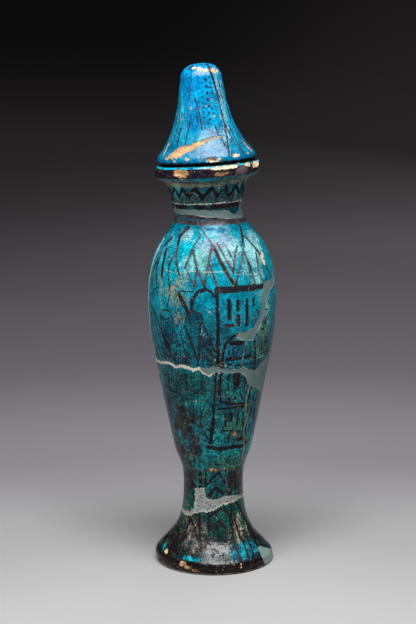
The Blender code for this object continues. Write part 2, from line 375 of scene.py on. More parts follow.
def feed(socket, value):
    if isinstance(value, Field):
        socket.id_data.links.new(value.socket, socket)
    else:
        socket.default_value = value


def feed_all(node, **values):
    """Fills a node's sockets by name.  A name's spaces are written as underscores."""
    for name, value in values.items():
        feed(node.inputs[name.replace("_", " ")], value)


def add_node(tree, kind, inputs=(), **settings):
    node = tree.nodes.new(kind)
    for name, value in settings.items():
        setattr(node, name, value)
    for name, value in dict(inputs).items():
        feed(node.inputs[name], value)
    return node


def new_group(name, kind, inputs, outputs):
    """An empty node group with named sockets, and its inputs as fields."""
    tree = bpy.data.node_groups.new(name, kind)
    for label, socket_type, default in inputs:
        socket = tree.interface.new_socket(label, in_out="INPUT", socket_type=socket_type)
        if default is not None:
            socket.default_value = default
    for label, socket_type in outputs:
        tree.interface.new_socket(label, in_out="OUTPUT", socket_type=socket_type)
    start = tree.nodes.new("NodeGroupInput")
    end = tree.nodes.new("NodeGroupOutput")
    return tree, {socket.name: Field(tree, socket) for socket in start.outputs if socket.name}, end


def place_group(tree, group, **values):
    """The group's outputs in another tree, with the values in its sockets."""
    node = tree.nodes.new("ShaderNodeGroup")
    node.node_tree = group
    feed_all(node, **values)
    fields = [Field(tree, socket) for socket in node.outputs]
    return fields[0] if len(fields) == 1 else fields


def object_coordinates(tree):
    coordinates = tree.nodes.new("ShaderNodeTexCoord")
    return Field(tree, coordinates.outputs["Object"])


def combine(x, y, z=0.0):
    node = add_node(x.tree, "ShaderNodeCombineXYZ", {"X": x, "Y": y, "Z": z})
    return Field(x.tree, node.outputs[0])


def noise_at(vector, size, detail=3.0, roughness=0.55, stretch=None):
    """Noise whose spots are about this many millimetres across, from 0 to 1."""
    if stretch is not None:
        vector = vector.vector("MULTIPLY", stretch)
    node = add_node(vector.tree, "ShaderNodeTexNoise", {
        "Vector": vector, "Scale": 1.0 / size, "Detail": detail, "Roughness": roughness})
    return Field(vector.tree, node.outputs["Fac"])


def frayed(value, vector, size, amount, detail=4.0, roughness=0.55):
    """A value made uneven by noise: spots of this size, this far from lowest to highest."""
    return value + (noise_at(vector, size, detail, roughness) - 0.5) * amount


def cells_at(vector, size, feature="F1"):
    """Distance inside the cells of a cell pattern, in cells."""
    node = add_node(vector.tree, "ShaderNodeTexVoronoi", {"Vector": vector, "Scale": 1.0 / size},
                    feature=feature)
    return Field(vector.tree, node.outputs["Distance"])


def ramp(value, stops):
    """A colour that changes with a value, through the given stops."""
    node = add_node(value.tree, "ShaderNodeValToRGB", {"Fac": value})
    bar = node.color_ramp
    bar.interpolation = "EASE"
    while len(bar.elements) < len(stops):
        bar.elements.new(0.5)
    for element, (at, color) in zip(bar.elements, stops):
        element.position = at
        element.color = (*color, 1.0)
    return Field(value.tree, node.outputs["Color"])


def blend(share, low, high, mode="MIX"):
    """Two colours mixed by a share.  At least one of the three is a field."""
    tree = next(value.tree for value in (share, low, high) if isinstance(value, Field))
    node = add_node(tree, "ShaderNodeMix", data_type="RGBA", blend_type=mode)
    feed(node.inputs[0], share)
    for socket, color in ((node.inputs[6], low), (node.inputs[7], high)):
        feed(socket, color if isinstance(color, Field) else (*color, 1.0))
    return Field(tree, node.outputs[2])


# The turned form

VECTOR, NUMBER, COLOR = "NodeSocketVector", "NodeSocketFloat", "NodeSocketColor"
MERGE_DISTANCE = 0.002
FLAT_OVER_FLOOR = 3.0           # the unevenness fades out over this height, so the foot stands flat


def turning_tree():
    """Geometry nodes that turn a half section round its leaning axis."""
    tree, given, end = new_group("turned form", "GeometryNodeTree", (
        ("Profile", "NodeSocketGeometry", None), ("Segments", "NodeSocketInt", 240),
        ("Front Density", NUMBER, 0.0), ("Unevenness", NUMBER, 0.0),
        ("Hollow Size", NUMBER, 10.0), ("Seed", NUMBER, 0.0),
        ("Glaze", "NodeSocketMaterial", None)), (("Form", "NodeSocketGeometry"),))

    def step(kind, inputs=(), out=0, **settings):
        return Field(tree, add_node(tree, kind, inputs, **settings).outputs[out])

    rings = step("GeometryNodeAttributeDomainSize", {"Geometry": given["Profile"]}, "Point Count")
    form = step("GeometryNodeMeshGrid", {
        "Size X": 1.0, "Size Y": 1.0, "Vertices X": given["Segments"] + 1.0,
        "Vertices Y": rings}, "Mesh")
    turn, up, _ = step("GeometryNodeInputPosition").parts()
    ring = (up + 0.5) * (rings - 1.0) + 0.5
    full = turn * (2.0 * math.pi)
    angle = full - given["Front Density"] * full.math("SINE")

    def from_profile(name):
        named = step("GeometryNodeInputNamedAttribute", {"Name": name}, data_type="FLOAT")
        return step("GeometryNodeSampleIndex", {
            "Geometry": given["Profile"], "Value": named, "Index": ring.math("FLOOR")},
            data_type="FLOAT")

    reach, level, shift, tilt, shown = (
        from_profile(name) for name in ("reach", "level", "shift", "tilt", "shown"))
    form = step("GeometryNodeStoreNamedAttribute", {
        "Geometry": form, "Name": "surface", "Value": combine(angle, from_profile("run"), reach)},
        data_type="FLOAT_VECTOR", domain="CORNER")
    form = step("GeometryNodeStoreNamedAttribute", {
        "Geometry": form, "Name": "shown", "Value": shown}, data_type="FLOAT", domain="POINT")
    side = reach * angle.math("SINE")
    placed = combine(shift + side * tilt.math("COSINE"), reach * angle.math("COSINE") * -1.0,
                     level + side * tilt.math("SINE"))
    form = step("GeometryNodeSetPosition", {"Geometry": form, "Position": placed.scaled(MM)})
    form = step("GeometryNodeMergeByDistance", {
        "Geometry": form, "Distance": MERGE_DISTANCE * MM})

    # the hand-made unevenness only ever sinks the surface, so it stays inside its box
    place = step("GeometryNodeInputPosition")
    waves = step("ShaderNodeTexNoise", {
        "Vector": place, "W": given["Seed"], "Detail": 2.0,
        "Scale": given["Hollow Size"].math("POWER", -1.0) * (1.0 / MM)}, "Fac",
        noise_dimensions="4D")
    kept = step("GeometryNodeInputNamedAttribute", {"Name": "shown"}, data_type="FLOAT")
    off_floor = place.parts()[2].smooth(0.0, FLAT_OVER_FLOOR * MM)
    depth = waves * given["Unevenness"] * -MM * kept * off_floor
    normal = step("GeometryNodeInputNormal")
    form = step("GeometryNodeSetPosition", {"Geometry": form, "Offset": normal.scaled(depth)})
    form = step("GeometryNodeSetShadeSmooth", {"Geometry": form})
    form = step("GeometryNodeRealizeInstances", {"Geometry": form})
    form = step("GeometryNodeSetMaterial", {"Geometry": form, "Material": given["Glaze"]})
    feed(end.inputs["Form"], form)
    return tree


TURNING = turning_tree()


def turned_piece(name, profile, material, **sizes):
    """A plain mesh turned from a profile by the geometry nodes."""
    points = profile.points
    section = bpy.data.meshes.new(name)
    section.from_pydata([(radius * MM, 0.0, level * MM) for radius, level in points],
                        [(i, i + 1) for i in range(len(points) - 1)], [])
    for label, values in (("reach", points[:, 0]), ("level", points[:, 1]), ("run", profile.run),
                          ("shift", profile.shift), ("tilt", profile.tilt),
                          ("shown", profile.shown)):
        section.attributes.new(label, "FLOAT", "POINT").data.foreach_set(
            "value", np.ascontiguousarray(values, dtype=np.float32))
    piece = bpy.data.objects.new(name, section)
    bpy.context.scene.collection.objects.link(piece)
    turner = piece.modifiers.new("turning", "NODES")
    turner.node_group = TURNING
    sockets = {item.name: item.identifier for item in TURNING.interface.items_tree
               if item.in_out == "INPUT"}
    for label, value in sizes.items():
        turner[sockets[label.replace("_", " ")]] = value
    turner[sockets["Glaze"]] = material
    evaluated = piece.evaluated_get(bpy.context.evaluated_depsgraph_get())
    mesh = bpy.data.meshes.new_from_object(evaluated)
    piece.modifiers.clear()
    piece.data = mesh
    mesh.name = name
    return piece


# Damage and repairs, in millimetres round and up the piece

# chips: place round, level, half width, half height, depth, tone from cream 0 to brown 1
VASE_CHIPS = (
    (-15.4, 207.2, 3.8, 2, 0.9, 0.56),
    (-13.2, 206.3, 3.2, 2, 0.8, 0.72),
    (4.6, 208.8, 3.4, 1, 0.5, 0.10),
    (10.4, 208.9, 4.8, 1.2, 0.5, 0.12),
    (7, 205.5, 3, 1.1, 0.4, 0.80),
    (22.5, 208.8, 2, 1.3, 0.3, 0.20),
    (30.5, 208.4, 4.6, 2, 0.9, 0.18),
    (31.2, 163.2, 1.7, 2.6, 0.4, 0.05),
    (32, 160.2, 1.3, 1.8, 0.3, 0.05),
    (-0.9, 52.4, 1.7, 1, 0.5, 0.70),
    (1.2, 52.1, 1.3, 0.7, 0.4, 0.70),
    (11.7, 72.1, 1.2, 1.1, 0.4, 0.70),
    (-30.3, 7.6, 1.7, 1.6, 0.7, 0.45),
    (-17.2, 5, 2, 1.4, 0.6, 0.55),
    (-14.6, 3.4, 1.9, 0.8, 0.4, 0.55),
    (-10.8, 2.2, 2.2, 0.5, 0.3, 0.60),
    (14.5, 4.2, 0.4, 1.2, 0.3, 0.30),
)
LID_CHIPS = (
    (-9.9, 2.5, 1.1, 0.9, 0.3, 0.25),
    (-17.4, 1.6, 0.7, 0.7, 0.3, 0.25),
    (15.2, 2.9, 1.3, 1.2, 0.5, 0.15),
    (17.4, 2.7, 0.9, 0.8, 0.4, 0.20),
    (25.4, 2.8, 0.8, 0.6, 0.3, 0.25),
    (2.4, 2.3, 2.5, 0.9, 0.7, 0.95),
    (3.8, 1, 3.2, 0.6, 0.6, 0.15),
    (6.6, 1.9, 1.3, 0.6, 0.4, 0.25),
    (-2.9, 46.7, 1.6, 0.9, 0.4, 0.08),
    (-0.6, 46.1, 2, 1.4, 0.5, 0.02),
    (2.2, 45.3, 1.8, 1, 0.4, 0.10),
    (6.8, 45.2, 1.8, 1.3, 0.5, 0.30),
    (8.4, 44.4, 1.7, 1.4, 0.5, 0.45),
    (-18.2, 24.1, 0.5, 0.5, 0.3, 0.30),
    (5.8, 22.4, 0.5, 0.5, 0.3, 0.60),
)
SCRAPE_TONE = 0.52
LID_SCRAPES = (
    ((-25.1, 3.1), (-19.1, 5.9), (-13.4, 8.8), (-8.5, 9.2), (-3.9, 10.7), (1.6, 11.9), (6.5, 12.6),
     (11.4, 12.2), (6.5, 12), (1.5, 10.9), (-2.3, 8.9), (-7.4, 6.7), (-12.2, 5), (-13.4, 3),
     (-14.8, 4.3), (-16, 2.3), (-17.4, 4), (-18.9, 2.2), (-20.4, 3.6), (-22.8, 2.1)),
    ((23.3, 10.1), (31.4, 3.6), (30.4, 3.2), (26.4, 6)),
    ((-22.4, 10.8), (-24, 10.2), (-28.6, 4.2), (-26.7, 4.6)),
)

# smooth fills of broken-out places
FILL_DEPTH = 0.12
VASE_FILLS = (
    ((-55, 187.2), (-10, 187.1), (2, 186.8), (9, 186.5), (12, 185.8), (13.5, 184.4), (18, 184),
     (20, 185.8), (21.5, 189.4), (26, 189.4), (28, 187.4), (55, 187.2), (55, 184), (30, 182),
     (20, 181.9), (8, 182.6), (0, 183.5), (-8, 184.7), (-18, 184.9), (-55, 184.2)),
    ((13.2, 107), (16.5, 108.5), (18.6, 106.8), (24, 105.6), (29.4, 107.3), (34, 110), (38, 112.5),
     (44, 112), (46, 104), (42, 94), (37.5, 89), (35, 90.2), (30, 93), (24.7, 96), (19.5, 98.3),
     (18.5, 102.4), (16.5, 104.6), (12.3, 106.2)),
    ((-6.9, 108.6), (-3.3, 108.8), (0.6, 109.9), (2.5, 109.3), (7.8, 107.7), (13.4, 107.5),
     (13, 105.9), (7.8, 105.8), (2.5, 107.1), (0.6, 106.2), (-1.8, 104.8), (-5, 106.4)),
    ((30.1, 150.6), (38, 151.4), (43.5, 154), (44, 148.4), (37, 146.2), (33.2, 142.5), (32, 138),
     (30.4, 133), (27.4, 128.9), (24.5, 125), (22, 121.8), (15.5, 122.6), (12.4, 124.4),
     (13.6, 126.4), (19, 127), (23.5, 128.8), (26.6, 133.5), (28.8, 140), (29.8, 146)),
    ((27.6, 10), (31, 9.8), (35, 8.6), (42, 6.6), (47, 5), (47, 2), (40.2, 1), (31.4, 1.2),
     (29.6, 5.6)),
)

# the coarse speckled fill across the stem
STEM_FILL_DEPTH, STEM_FILL_GRIT = 0.25, 0.8
STEM_FILL = (
    (-10.3, 41.4), (-5, 42.2), (-3.9, 37.2), (-2.3, 35.9), (1.6, 36), (5.1, 37.5), (10.2, 37.3),
    (15, 36.2), (21.3, 35.3), (24.5, 34.7), (24.5, 33.2), (21, 33.7), (15, 34.2), (10.2, 33.4),
    (5.1, 33), (1.6, 31.3), (-3.5, 29), (-5, 29.8), (-10.2, 28.2), (-14.3, 26.2), (-18.2, 25.9),
    (-25, 26.2), (-25, 27.4), (-18.2, 27.9), (-14, 28.2), (-10.8, 31))


def on_surface(profile, points):
    """Places round and up the piece as places round it and along its outline."""
    return np.array([(around, profile.run_at(level)) for around, level in points])


def polygon_distance(places, corners):
    """Distance to a closed outline, below zero inside it."""
    nearest = np.full(len(places), 1e9)
    inside = np.zeros(len(places), dtype=bool)
    for a, b in zip(corners, np.roll(corners, -1, axis=0)):
        span = b - a
        share = np.clip((places - a) @ span / max(span @ span, 1e-9), 0.0, 1.0)
        nearest = np.minimum(nearest, np.linalg.norm(places - a - share[:, None] * span, axis=1))
        crosses = (a[1] > places[:, 1]) != (b[1] > places[:, 1])
        meets = a[0] + (places[:, 1] - a[1]) / (span[1] if span[1] else 1e-9) * span[0]
        inside ^= crosses & (places[:, 0] < meets)
    return np.where(inside, -nearest, nearest)


def noise_values(points, size, seed):
    """Smooth noise from about -1 to 1 at each point, in spots of this many millimetres."""
    offset = Vector((seed * 7.31, seed * 3.17, seed * 5.71))
    scale = 1.0 / (size * MM)
    return np.array([noise.noise(Vector(point) * scale + offset) for point in points])


def read_rows(items, name, width, kind=np.float32):
    """A property of every vertex, corner or attribute value, one row for each."""
    values = np.empty(len(items) * width, dtype=kind)
    items.foreach_get(name, values)
    return values.reshape(-1, width)


class Relief:
    """Sinks chips and fills into a turned piece, and keeps their outlines for its glaze."""

    FAR = 6.0                       # distances are kept no further than this, in millimetres
    SCRAPE_DEPTH = 0.5
    CHIP_GRIT = 0.3                 # how uneven the depth gets, as a share of it
    SCRAPE_GRIT = 0.4

    def __init__(self, piece, profile):
        self.mesh, self.profile = piece.data, profile
        vertices, layers = self.mesh.vertices, self.mesh.attributes
        self.points = read_rows(vertices, "co", 3).astype(float)
        self.normals = read_rows(vertices, "normal", 3)
        self.shown = read_rows(layers["shown"].data, "value", 1)[:, 0]
        owners = read_rows(self.mesh.loops, "vertex_index", 1, np.int32)[:, 0]
        surface = np.zeros((len(vertices), 3))
        surface[owners] = read_rows(layers["surface"].data, "vector", 3)
        angle, run, reach = surface.T
        self.places = np.stack([angle * reach, run], axis=1)
        self.wander = noise_values(self.points, 1.8, 1) * 0.9
        self.grit = noise_values(self.points, 0.9, 2)

    def sink(self, distance, depth, unevenness, edge=0.5):
        """Sinks the surface where the distance is below zero."""
        inside = smooth_step(-distance, -edge * 0.3, edge) * self.shown
        amount = depth * inside * (1.0 + unevenness * self.grit)
        self.points -= self.normals * (amount * MM)[:, None]

    def to_chip(self, around, level, half_width, half_height):
        """Distance to a chip's ragged oval edge."""
        center = on_surface(self.profile, [(around, level)])[0]
        shares = (self.places - center) / (half_width, half_height)
        smaller = min(half_width, half_height)
        distance = (np.linalg.norm(shares, axis=1) - 1.0) * smaller
        return distance + (self.wander + 0.5 * self.grit) * min(1.0, 0.45 * smaller)

    def to_outline(self, corners):
        """Distance to an outline of straight stretches, worn uneven."""
        outline = on_surface(self.profile, corners)
        return polygon_distance(self.places, outline) + self.wander * 0.25

    def chips(self, chips, scrapes=()):
        places = [(self.to_chip(*shape), depth, self.CHIP_GRIT, tone)
                  for *shape, depth, tone in chips]
        places += [(self.to_outline(corners), self.SCRAPE_DEPTH, self.SCRAPE_GRIT, SCRAPE_TONE)
                   for corners in scrapes]
        nearest = np.full(len(self.points), self.FAR)
        tones = np.full(len(self.points), SCRAPE_TONE)
        for distance, depth, unevenness, tone in places:
            self.sink(distance, depth, unevenness)
            tones = np.where(distance < nearest, tone, tones)
            nearest = np.minimum(nearest, distance)
        self.keep("chip_edge", nearest)
        self.keep("chip_tone", tones)

    def fills(self, name, outlines, depth, unevenness=0.0):
        nearest = np.full(len(self.points), self.FAR)
        for corners in outlines:
            nearest = np.minimum(nearest, self.to_outline(corners))
        self.sink(nearest, depth, unevenness, edge=0.9)
        self.keep(name, nearest)

    def keep(self, name, distance):
        """Keeps a distance or a tone at each vertex, and FAR on the hidden sides."""
        values = np.where(self.shown > 0.5, np.minimum(distance, self.FAR), self.FAR)
        layer = self.mesh.attributes.new(name, "FLOAT", "POINT")
        layer.data.foreach_set("value", values.astype(np.float32))

    def finish(self):
        self.mesh.vertices.foreach_set("co", self.points.astype(np.float32).ravel())
        self.mesh.attributes.remove(self.mesh.attributes["shown"])
        self.mesh.update()


# Painted lines, in millimetres round and up the piece: half width, then the points

SHOULDER_LINES = (
    (0.85, ((-12, 178.5), (-18, 174.2), (-18.5, 169.9), (-19.4, 164.9))),
    (0.6, ((-19.4, 164.9), (-18.6, 159.1), (-16.9, 155.8))),
    (0.5, ((-5.1, 178.5), (-3.5, 175.7), (0.7, 170.2))),
    (0.9, ((0.7, 170.2), (4.2, 163.1), (8.7, 155.2), (11.8, 151))),
    (0.8, ((16.9, 179), (17, 172.9), (17.1, 169.4))),
    (0.55, ((17.1, 169.4), (15.9, 162.5), (13.5, 156.6), (12.1, 150.7))),
    (0.55, ((17, 167.4), (20.3, 160.4), (23.4, 151.4))),
    (0.55, ((18.6, 173.9), (24.6, 168.6), (31.1, 162.2), (35.7, 156), (39.1, 151.1))),
    (0.45, ((2.6, 171.8), (6.9, 164.2), (11, 157.2), (11.5, 163.6), (13.2, 169.6))),
    (0.35, ((7, 170.4), (10.8, 163.3))),
    (0.45, ((-5, 175.3), (-9.2, 170), (-11.2, 165.8), (-14, 159.5))),
    (0.55, ((-9.6, 167.6), (-7.4, 158.7), (-3.9, 150.7), (-1.5, 163.1), (-0.2, 168.9))),
    (0.45, ((-1.1, 161.4), (1.1, 155.4), (2.7, 150.7))),
    (0.45, ((-12.5, 157.7), (-9.1, 150.1), (-7.9, 157.9))),
    (0.45, ((-20, 165.7), (-23.8, 160.4), (-24.3, 155.2), (-23, 148.3))),
    (1, ((-27.1, 167.6), (-28.8, 160.6), (-29, 153.8))),
    (0.8, ((-31.5, 166), (-34.5, 158), (-34, 150))),
    (0.7, ((-24, 173), (-30.5, 168), (-38, 157), (-39, 149))),
    (0.4, ((25.5, 166.2), (26.4, 157.2), (29.4, 150.7))),
    (0.35, ((20.8, 157.7), (19.6, 150.1))),
    (0.4, ((-17, 184.2), (-7, 183.9), (0, 182.9), (7, 182.2))),
)
STALK_LINES = (
    (0.6, ((1.5, 168.5), (4.4, 162.7), (8.9, 154.9), (11.6, 151.4))),
    (0.55, ((-14.5, 176.6), (-18, 173.8), (-18.3, 170.5))),
    (0.55, ((17, 178), (17, 171))),
    (0.6, ((-27.6, 166), (-28.9, 160), (-29, 155))),
    (1, ((-10.7, 139.3), (-10.2, 143.9), (-7.4, 147.6), (-3.4, 149.4))),
    (0.8, ((-3.4, 149.3), (-0.9, 148.4), (1.2, 146))),
    (0.3, ((-18.6, 148), (-9.5, 148.1))),
    (1.1, ((-17.5, 146.5), (-12.1, 137.3))),
    (0.45, ((-14, 133), (-12.8, 136.6), (-9.3, 138.4), (-6, 136.9), (-4.6, 133.6))),
    (0.35, ((-13.8, 132.4), (-9.3, 131.6), (-5, 132.8))),
    (0.5, ((-14.3, 130.9), (-12.3, 125.9), (-9.5, 118.6), (-7.7, 112.6))),
    (0.5, ((-5.8, 131.7), (-6.4, 125.9), (-6.9, 112.6))),
    (0.5, ((-4.9, 132.3), (-2.3, 126.3), (1.3, 117.6))),
    (0.35, ((-5.8, 125.6), (-2.9, 119.6), (1.2, 113.6))),
    (0.45, ((-30.4, 133.2), (-29, 136.6), (-25.6, 138), (-22.6, 136.4), (-21.7, 133.6))),
    (0.35, ((-30, 134), (-26, 132.6), (-22, 134.2))),
    (0.3, ((-29.5, 132.2), (-26, 131.2), (-22.2, 132.2))),
    (0.45, ((-29.9, 133.1), (-29.4, 125.9), (-23.7, 117))),
    (0.4, ((-21.6, 134.1), (-21.8, 121.3))),
    (0.4, ((-23.1, 146.1), (-25.4, 138.3))),
    (0.5, ((-40.3, 137.9), (-33.8, 133.3), (-29.4, 125.9), (-23.9, 114.8))),
    (0.4, ((-38.6, 143.1), (-36.4, 146.7), (-31.9, 148.5))),
    (0.35, ((-31, 129), (-21.5, 111.5))),
    (0.3, ((-34, 127), (-27, 111))),
    (0.3, ((-20, 127), (-15.5, 111))),
    (0.35, ((-17, 128), (-13, 111))),
    (0.3, ((-24, 121), (-24.5, 111))),
    (0.3, ((-36, 124), (-31, 110))),
    (0.3, ((-38, 122), (-35, 110))),
    (0.5, ((-26.1, 103.4), (-25.6, 94.6), (-18.2, 93.4))),
    (0.4, ((-14.6, 104.2), (-13.9, 97.5), (-8, 95))),
    (0.35, ((-19.5, 105), (-20.5, 97))),
    (0.4, ((-5.8, 85.4), (-6.3, 77.9), (-3.1, 70.1))),
    (0.4, ((-5.4, 104), (-5.6, 97))),
)
PANEL_FRAME_LINES = (
    (1.7, ((2.6, 149), (23, 149.1))),
    (1.3, ((23, 149), (30, 148.9))),
    (0.95, ((2.3, 146.9), (2.8, 139.5), (2.8, 128.1), (2.6, 113.3), (2.2, 109.9))),
    (0.6, ((1.7, 105.9), (1.2, 97.7), (0.5, 88.5), (0.2, 80.5))),
    (1.05, ((0.2, 80.5), (-1.4, 68.1))),
    (1.15, ((-2.7, 65.6), (2.8, 64.4), (11.5, 64.9), (16.9, 64.3))),
    (0.5, ((19.6, 65.4), (23.4, 66.6))),
    (0.75, ((17, 126), (12.1, 126.1), (8.6, 123.6), (6.3, 120.8), (5.3, 116.6), (4.6, 108.5),
            (4.1, 105.4), (3.4, 100.1), (3.4, 94.2), (4.2, 90.7), (8.5, 88.9), (18, 88.2))),
    (0.6, ((18, 88.2), (20.8, 90.7), (21.9, 96.2), (23.8, 106), (24.4, 112.3), (23.4, 121.9))),
    (0.55, ((2.9, 86.7), (18.4, 86.5))),
    (0.5, ((18.9, 88), (19.2, 78), (19, 66))),
)
# rows of plain strokes, in the place of the writing
PANEL_STROKES = (
    (1.2, ((8.6, 143.4), (8.8, 134.6))),
    (1, ((13.2, 143), (13.3, 138.4))),
    (1, ((13.3, 135.4), (13.4, 131))),
    (0.9, ((7.2, 131), (10.2, 130.9))),
    (0.9, ((18.4, 143.6), (18.3, 130.6))),
    (0.8, ((22.6, 143.2), (22.6, 140.2))),
    (0.5, ((24.6, 137.6), (25.6, 135.6))),
    (1.2, ((9.6, 121.5), (15.4, 121.3))),
    (0.45, ((8.2, 117.9), (8.3, 116))),
    (0.45, ((10.6, 117.9), (10.7, 116))),
    (0.45, ((13, 117.9), (13.1, 116))),
    (0.45, ((17.6, 118.2), (17.8, 115.6))),
    (0.45, ((20.4, 118.4), (20.5, 115.8))),
    (1.1, ((7.4, 113.2), (14.2, 113.4))),
    (0.9, ((17, 113.6), (20.8, 113.9))),
    (0.6, ((7.6, 110.3), (9.6, 110.6))),
    (0.6, ((12.2, 109.6), (14, 109.9))),
    (2.3, ((12.7, 103.6), (12.8, 100.4))),
    (0.7, ((7.2, 102.6), (8.8, 104.4))),
    (0.5, ((8, 99.6), (8.1, 96.4))),
    (0.6, ((17.6, 103.8), (17.8, 101.6))),
    (0.5, ((12, 97.2), (16, 97.2))),
    (0.6, ((8, 92.4), (8.2, 91.6))),
    (0.6, ((11.9, 92.4), (12.1, 91.6))),
    (0.6, ((15.8, 92.4), (16, 91.6))),
    (0.6, ((6.4, 83.6), (6.5, 77))),
    (0.6, ((9.6, 83.8), (9.7, 79.6))),
    (0.45, ((5.2, 74.2), (10.6, 74.4))),
    (0.5, ((8, 71.6), (8, 67.8))),
    (0.5, ((13.6, 83.4), (12.6, 76.2))),
    (0.5, ((16.6, 83.6), (17, 75.4))),
    (1.1, ((13.6, 68.4), (16.8, 68.9))),
    (0.5, ((29.6, 143.6), (32.6, 142.8))),
    (0.45, ((33.8, 141.6), (35.8, 138.6))),
    (0.45, ((30, 137.6), (33.4, 136.4))),
    (0.6, ((33.6, 133.6), (31.2, 129.4))),
    (0.6, ((28.6, 127), (30.2, 126.6))),
    (0.5, ((29, 121.4), (29.2, 116.2))),
    (0.5, ((32.4, 121.8), (32.6, 117.4))),
    (0.4, ((28, 113.8), (33.8, 114.4))),
    (0.4, ((35.8, 116), (35.2, 111.8))),
    (0.5, ((25, 92.4), (24.6, 88.4))),
    (0.8, ((22.8, 84.4), (22.6, 80.6))),
    (0.6, ((26.4, 83.4), (26, 78.4))),
    (0.4, ((22.4, 76.6), (22.2, 71.4))),
)
FOOT_LINES = (
    (0.75, ((-7.2, 50.6), (-7, 42.2))),
    (0.4, ((-3.8, 51), (-3.9, 43))),
    (0.6, ((8.7, 50.4), (8.8, 38.2))),
    (0.35, ((12.8, 50.4), (13, 39.4))),
    (0.6, ((-3.3, 44.4), (2.6, 50.6), (6.6, 44.6))),
    (0.7, ((-2.3, 38), (1.5, 42.6), (4.7, 38.8))),
    (0.6, ((-13.2, 46), (-10.2, 42))),
    (0.6, ((-2.3, 23), (-2.6, 27), (4, 31.3), (9.4, 26.7))),
    (0.7, ((-1.6, 20.8), (2.9, 25), (6.4, 21.4))),
    (0.55, ((-7.7, 27.9), (-7.7, 21.4), (-6.8, 13))),
    (0.5, ((9.7, 33), (9.7, 19.4), (11.7, 12.8), (14.7, 7.1))),
    (0.6, ((14, 33), (18.9, 25.5), (24.6, 18.1), (29, 10.8))),
    (0.55, ((12.2, 24), (14.4, 17.4), (17.1, 13), (20, 6.8))),
    (0.5, ((17.8, 18.4), (20.3, 14.5), (23.7, 7.4))),
    (0.5, ((22.4, 18.8), (25.2, 14.2), (28.7, 9.1))),
    (0.45, ((-13.6, 25.5), (-11, 21.7), (-8.2, 15.1))),
    (0.7, ((-22, 16), (-25, 12.2), (-28.3, 6.4))),
    (0.55, ((-15.8, 16.8), (-25.1, 8.5))),
    (0.6, ((-26.8, 6.2), (-22.5, 9.7), (-18.1, 7.6))),
    (0.5, ((-14.6, 22), (-19, 15))),
)
LID_LINES = (
    (0.72, ((4.4, 46.4), (6.7, 39.8), (8.5, 33.3))),
    (0.5, ((8.5, 33.3), (10.1, 25.2), (11.4, 18.6), (11.8, 12.7), (11.9, 7.4), (12.1, 3.4))),
    (0.4, ((11.4, 18.6), (15.1, 11.3), (20.2, 3.6))),
    (0.4, ((14.8, 17.1), (18.1, 9.2), (21.6, 3.6))),
    (0.3, ((15.7, 27), (17, 19.5), (24.6, 9.2), (32, 3.8))),
    (0.4, ((5.8, 18), (7.4, 13.2), (11.3, 6.5))),
    (0.4, ((-3.7, 31.7), (-2.1, 26.8), (-1.3, 20.8), (-1, 16.1))),
    (0.3, ((-12.7, 41.9), (-13.4, 31.9), (-14.2, 20.1), (-18.9, 11.1), (-23.8, 6.5))),
    (0.3, ((-6.5, 22.2), (-8.7, 15.2), (-10.6, 9.6))),
    (0.45, ((-13.2, 17.1), (-15.6, 8.9))),
    (0.3, ((-16, 30), (-18, 20), (-24, 10.6))),
    (0.3, ((-6.4, 38), (-6.8, 30))),
    (0.3, ((9.6, 41), (13, 28))),
    (0.8, ((-6.6, 46.2), (-4, 47.7))),
    (0.6, ((-0.6, 48.2), (0.6, 48.2))),
    (0.8, ((3.2, 47.9), (4.8, 46.4))),
)
DOT_COLUMNS = (
    (0.62, (2.5, 40.8), (3.4, 21), 7),
    (0.42, (0.2, 34.7), (0.7, 17), 8),
    (0.33, (4.3, 41.6), (5.4, 24), 8),
)
LID_CRACK = ((0.22, ((-12.4, 23.6), (-2.1, 26.8), (3.4, 28.5), (8.3, 30.3), (16, 31.6))),)
SHOULDER_CRACK = ((0.16, ((-26.3, 157.7), (-18.1, 156.6), (-10, 158.3), (-4.6, 157.9), (7.9, 158.1),
                          (11.5, 156.6), (20.7, 155.6), (30, 155))),)
PLASTER_CRACKS_AND_EDGE_HIGHLIGHT = (
    (0.75, ((-40, 108.6), (-34, 108.4), (-29.4, 109.2), (-24.2, 109.7), (-20.4, 108.1),
            (-16.6, 109.2), (-12.5, 108.4), (-9.8, 107.5), (-6.9, 108.5))),
    (0.4, ((-6.9, 108.5), (-5.2, 106.4), (-1.8, 104.6), (0.8, 106.4))),
    # painted highlight: this last line is a thin white highlight along the body's left edge, not a
    # crack
    (0.8, ((-33.6, 171.4), (-41.2, 161), (-45.4, 150), (-46.2, 136), (-44.8, 122), (-41.6, 109),
           (-38.6, 101.6))),
)
TAN_CRACKS = (
    (0.2, ((17.8, 121.6), (16.3, 114.8), (15.7, 111.1), (13.8, 108.3))),
    (0.45, ((21.3, 97.2), (18.9, 91.7), (18.6, 85.6), (19.4, 79.5), (17.9, 73.5), (18.4, 66),
            (17.6, 56))),
)

# Soft patches in the glaze: the side they are measured from, colour, strength and raggedness,
# then the spots, each by its place round, level, half width and half height

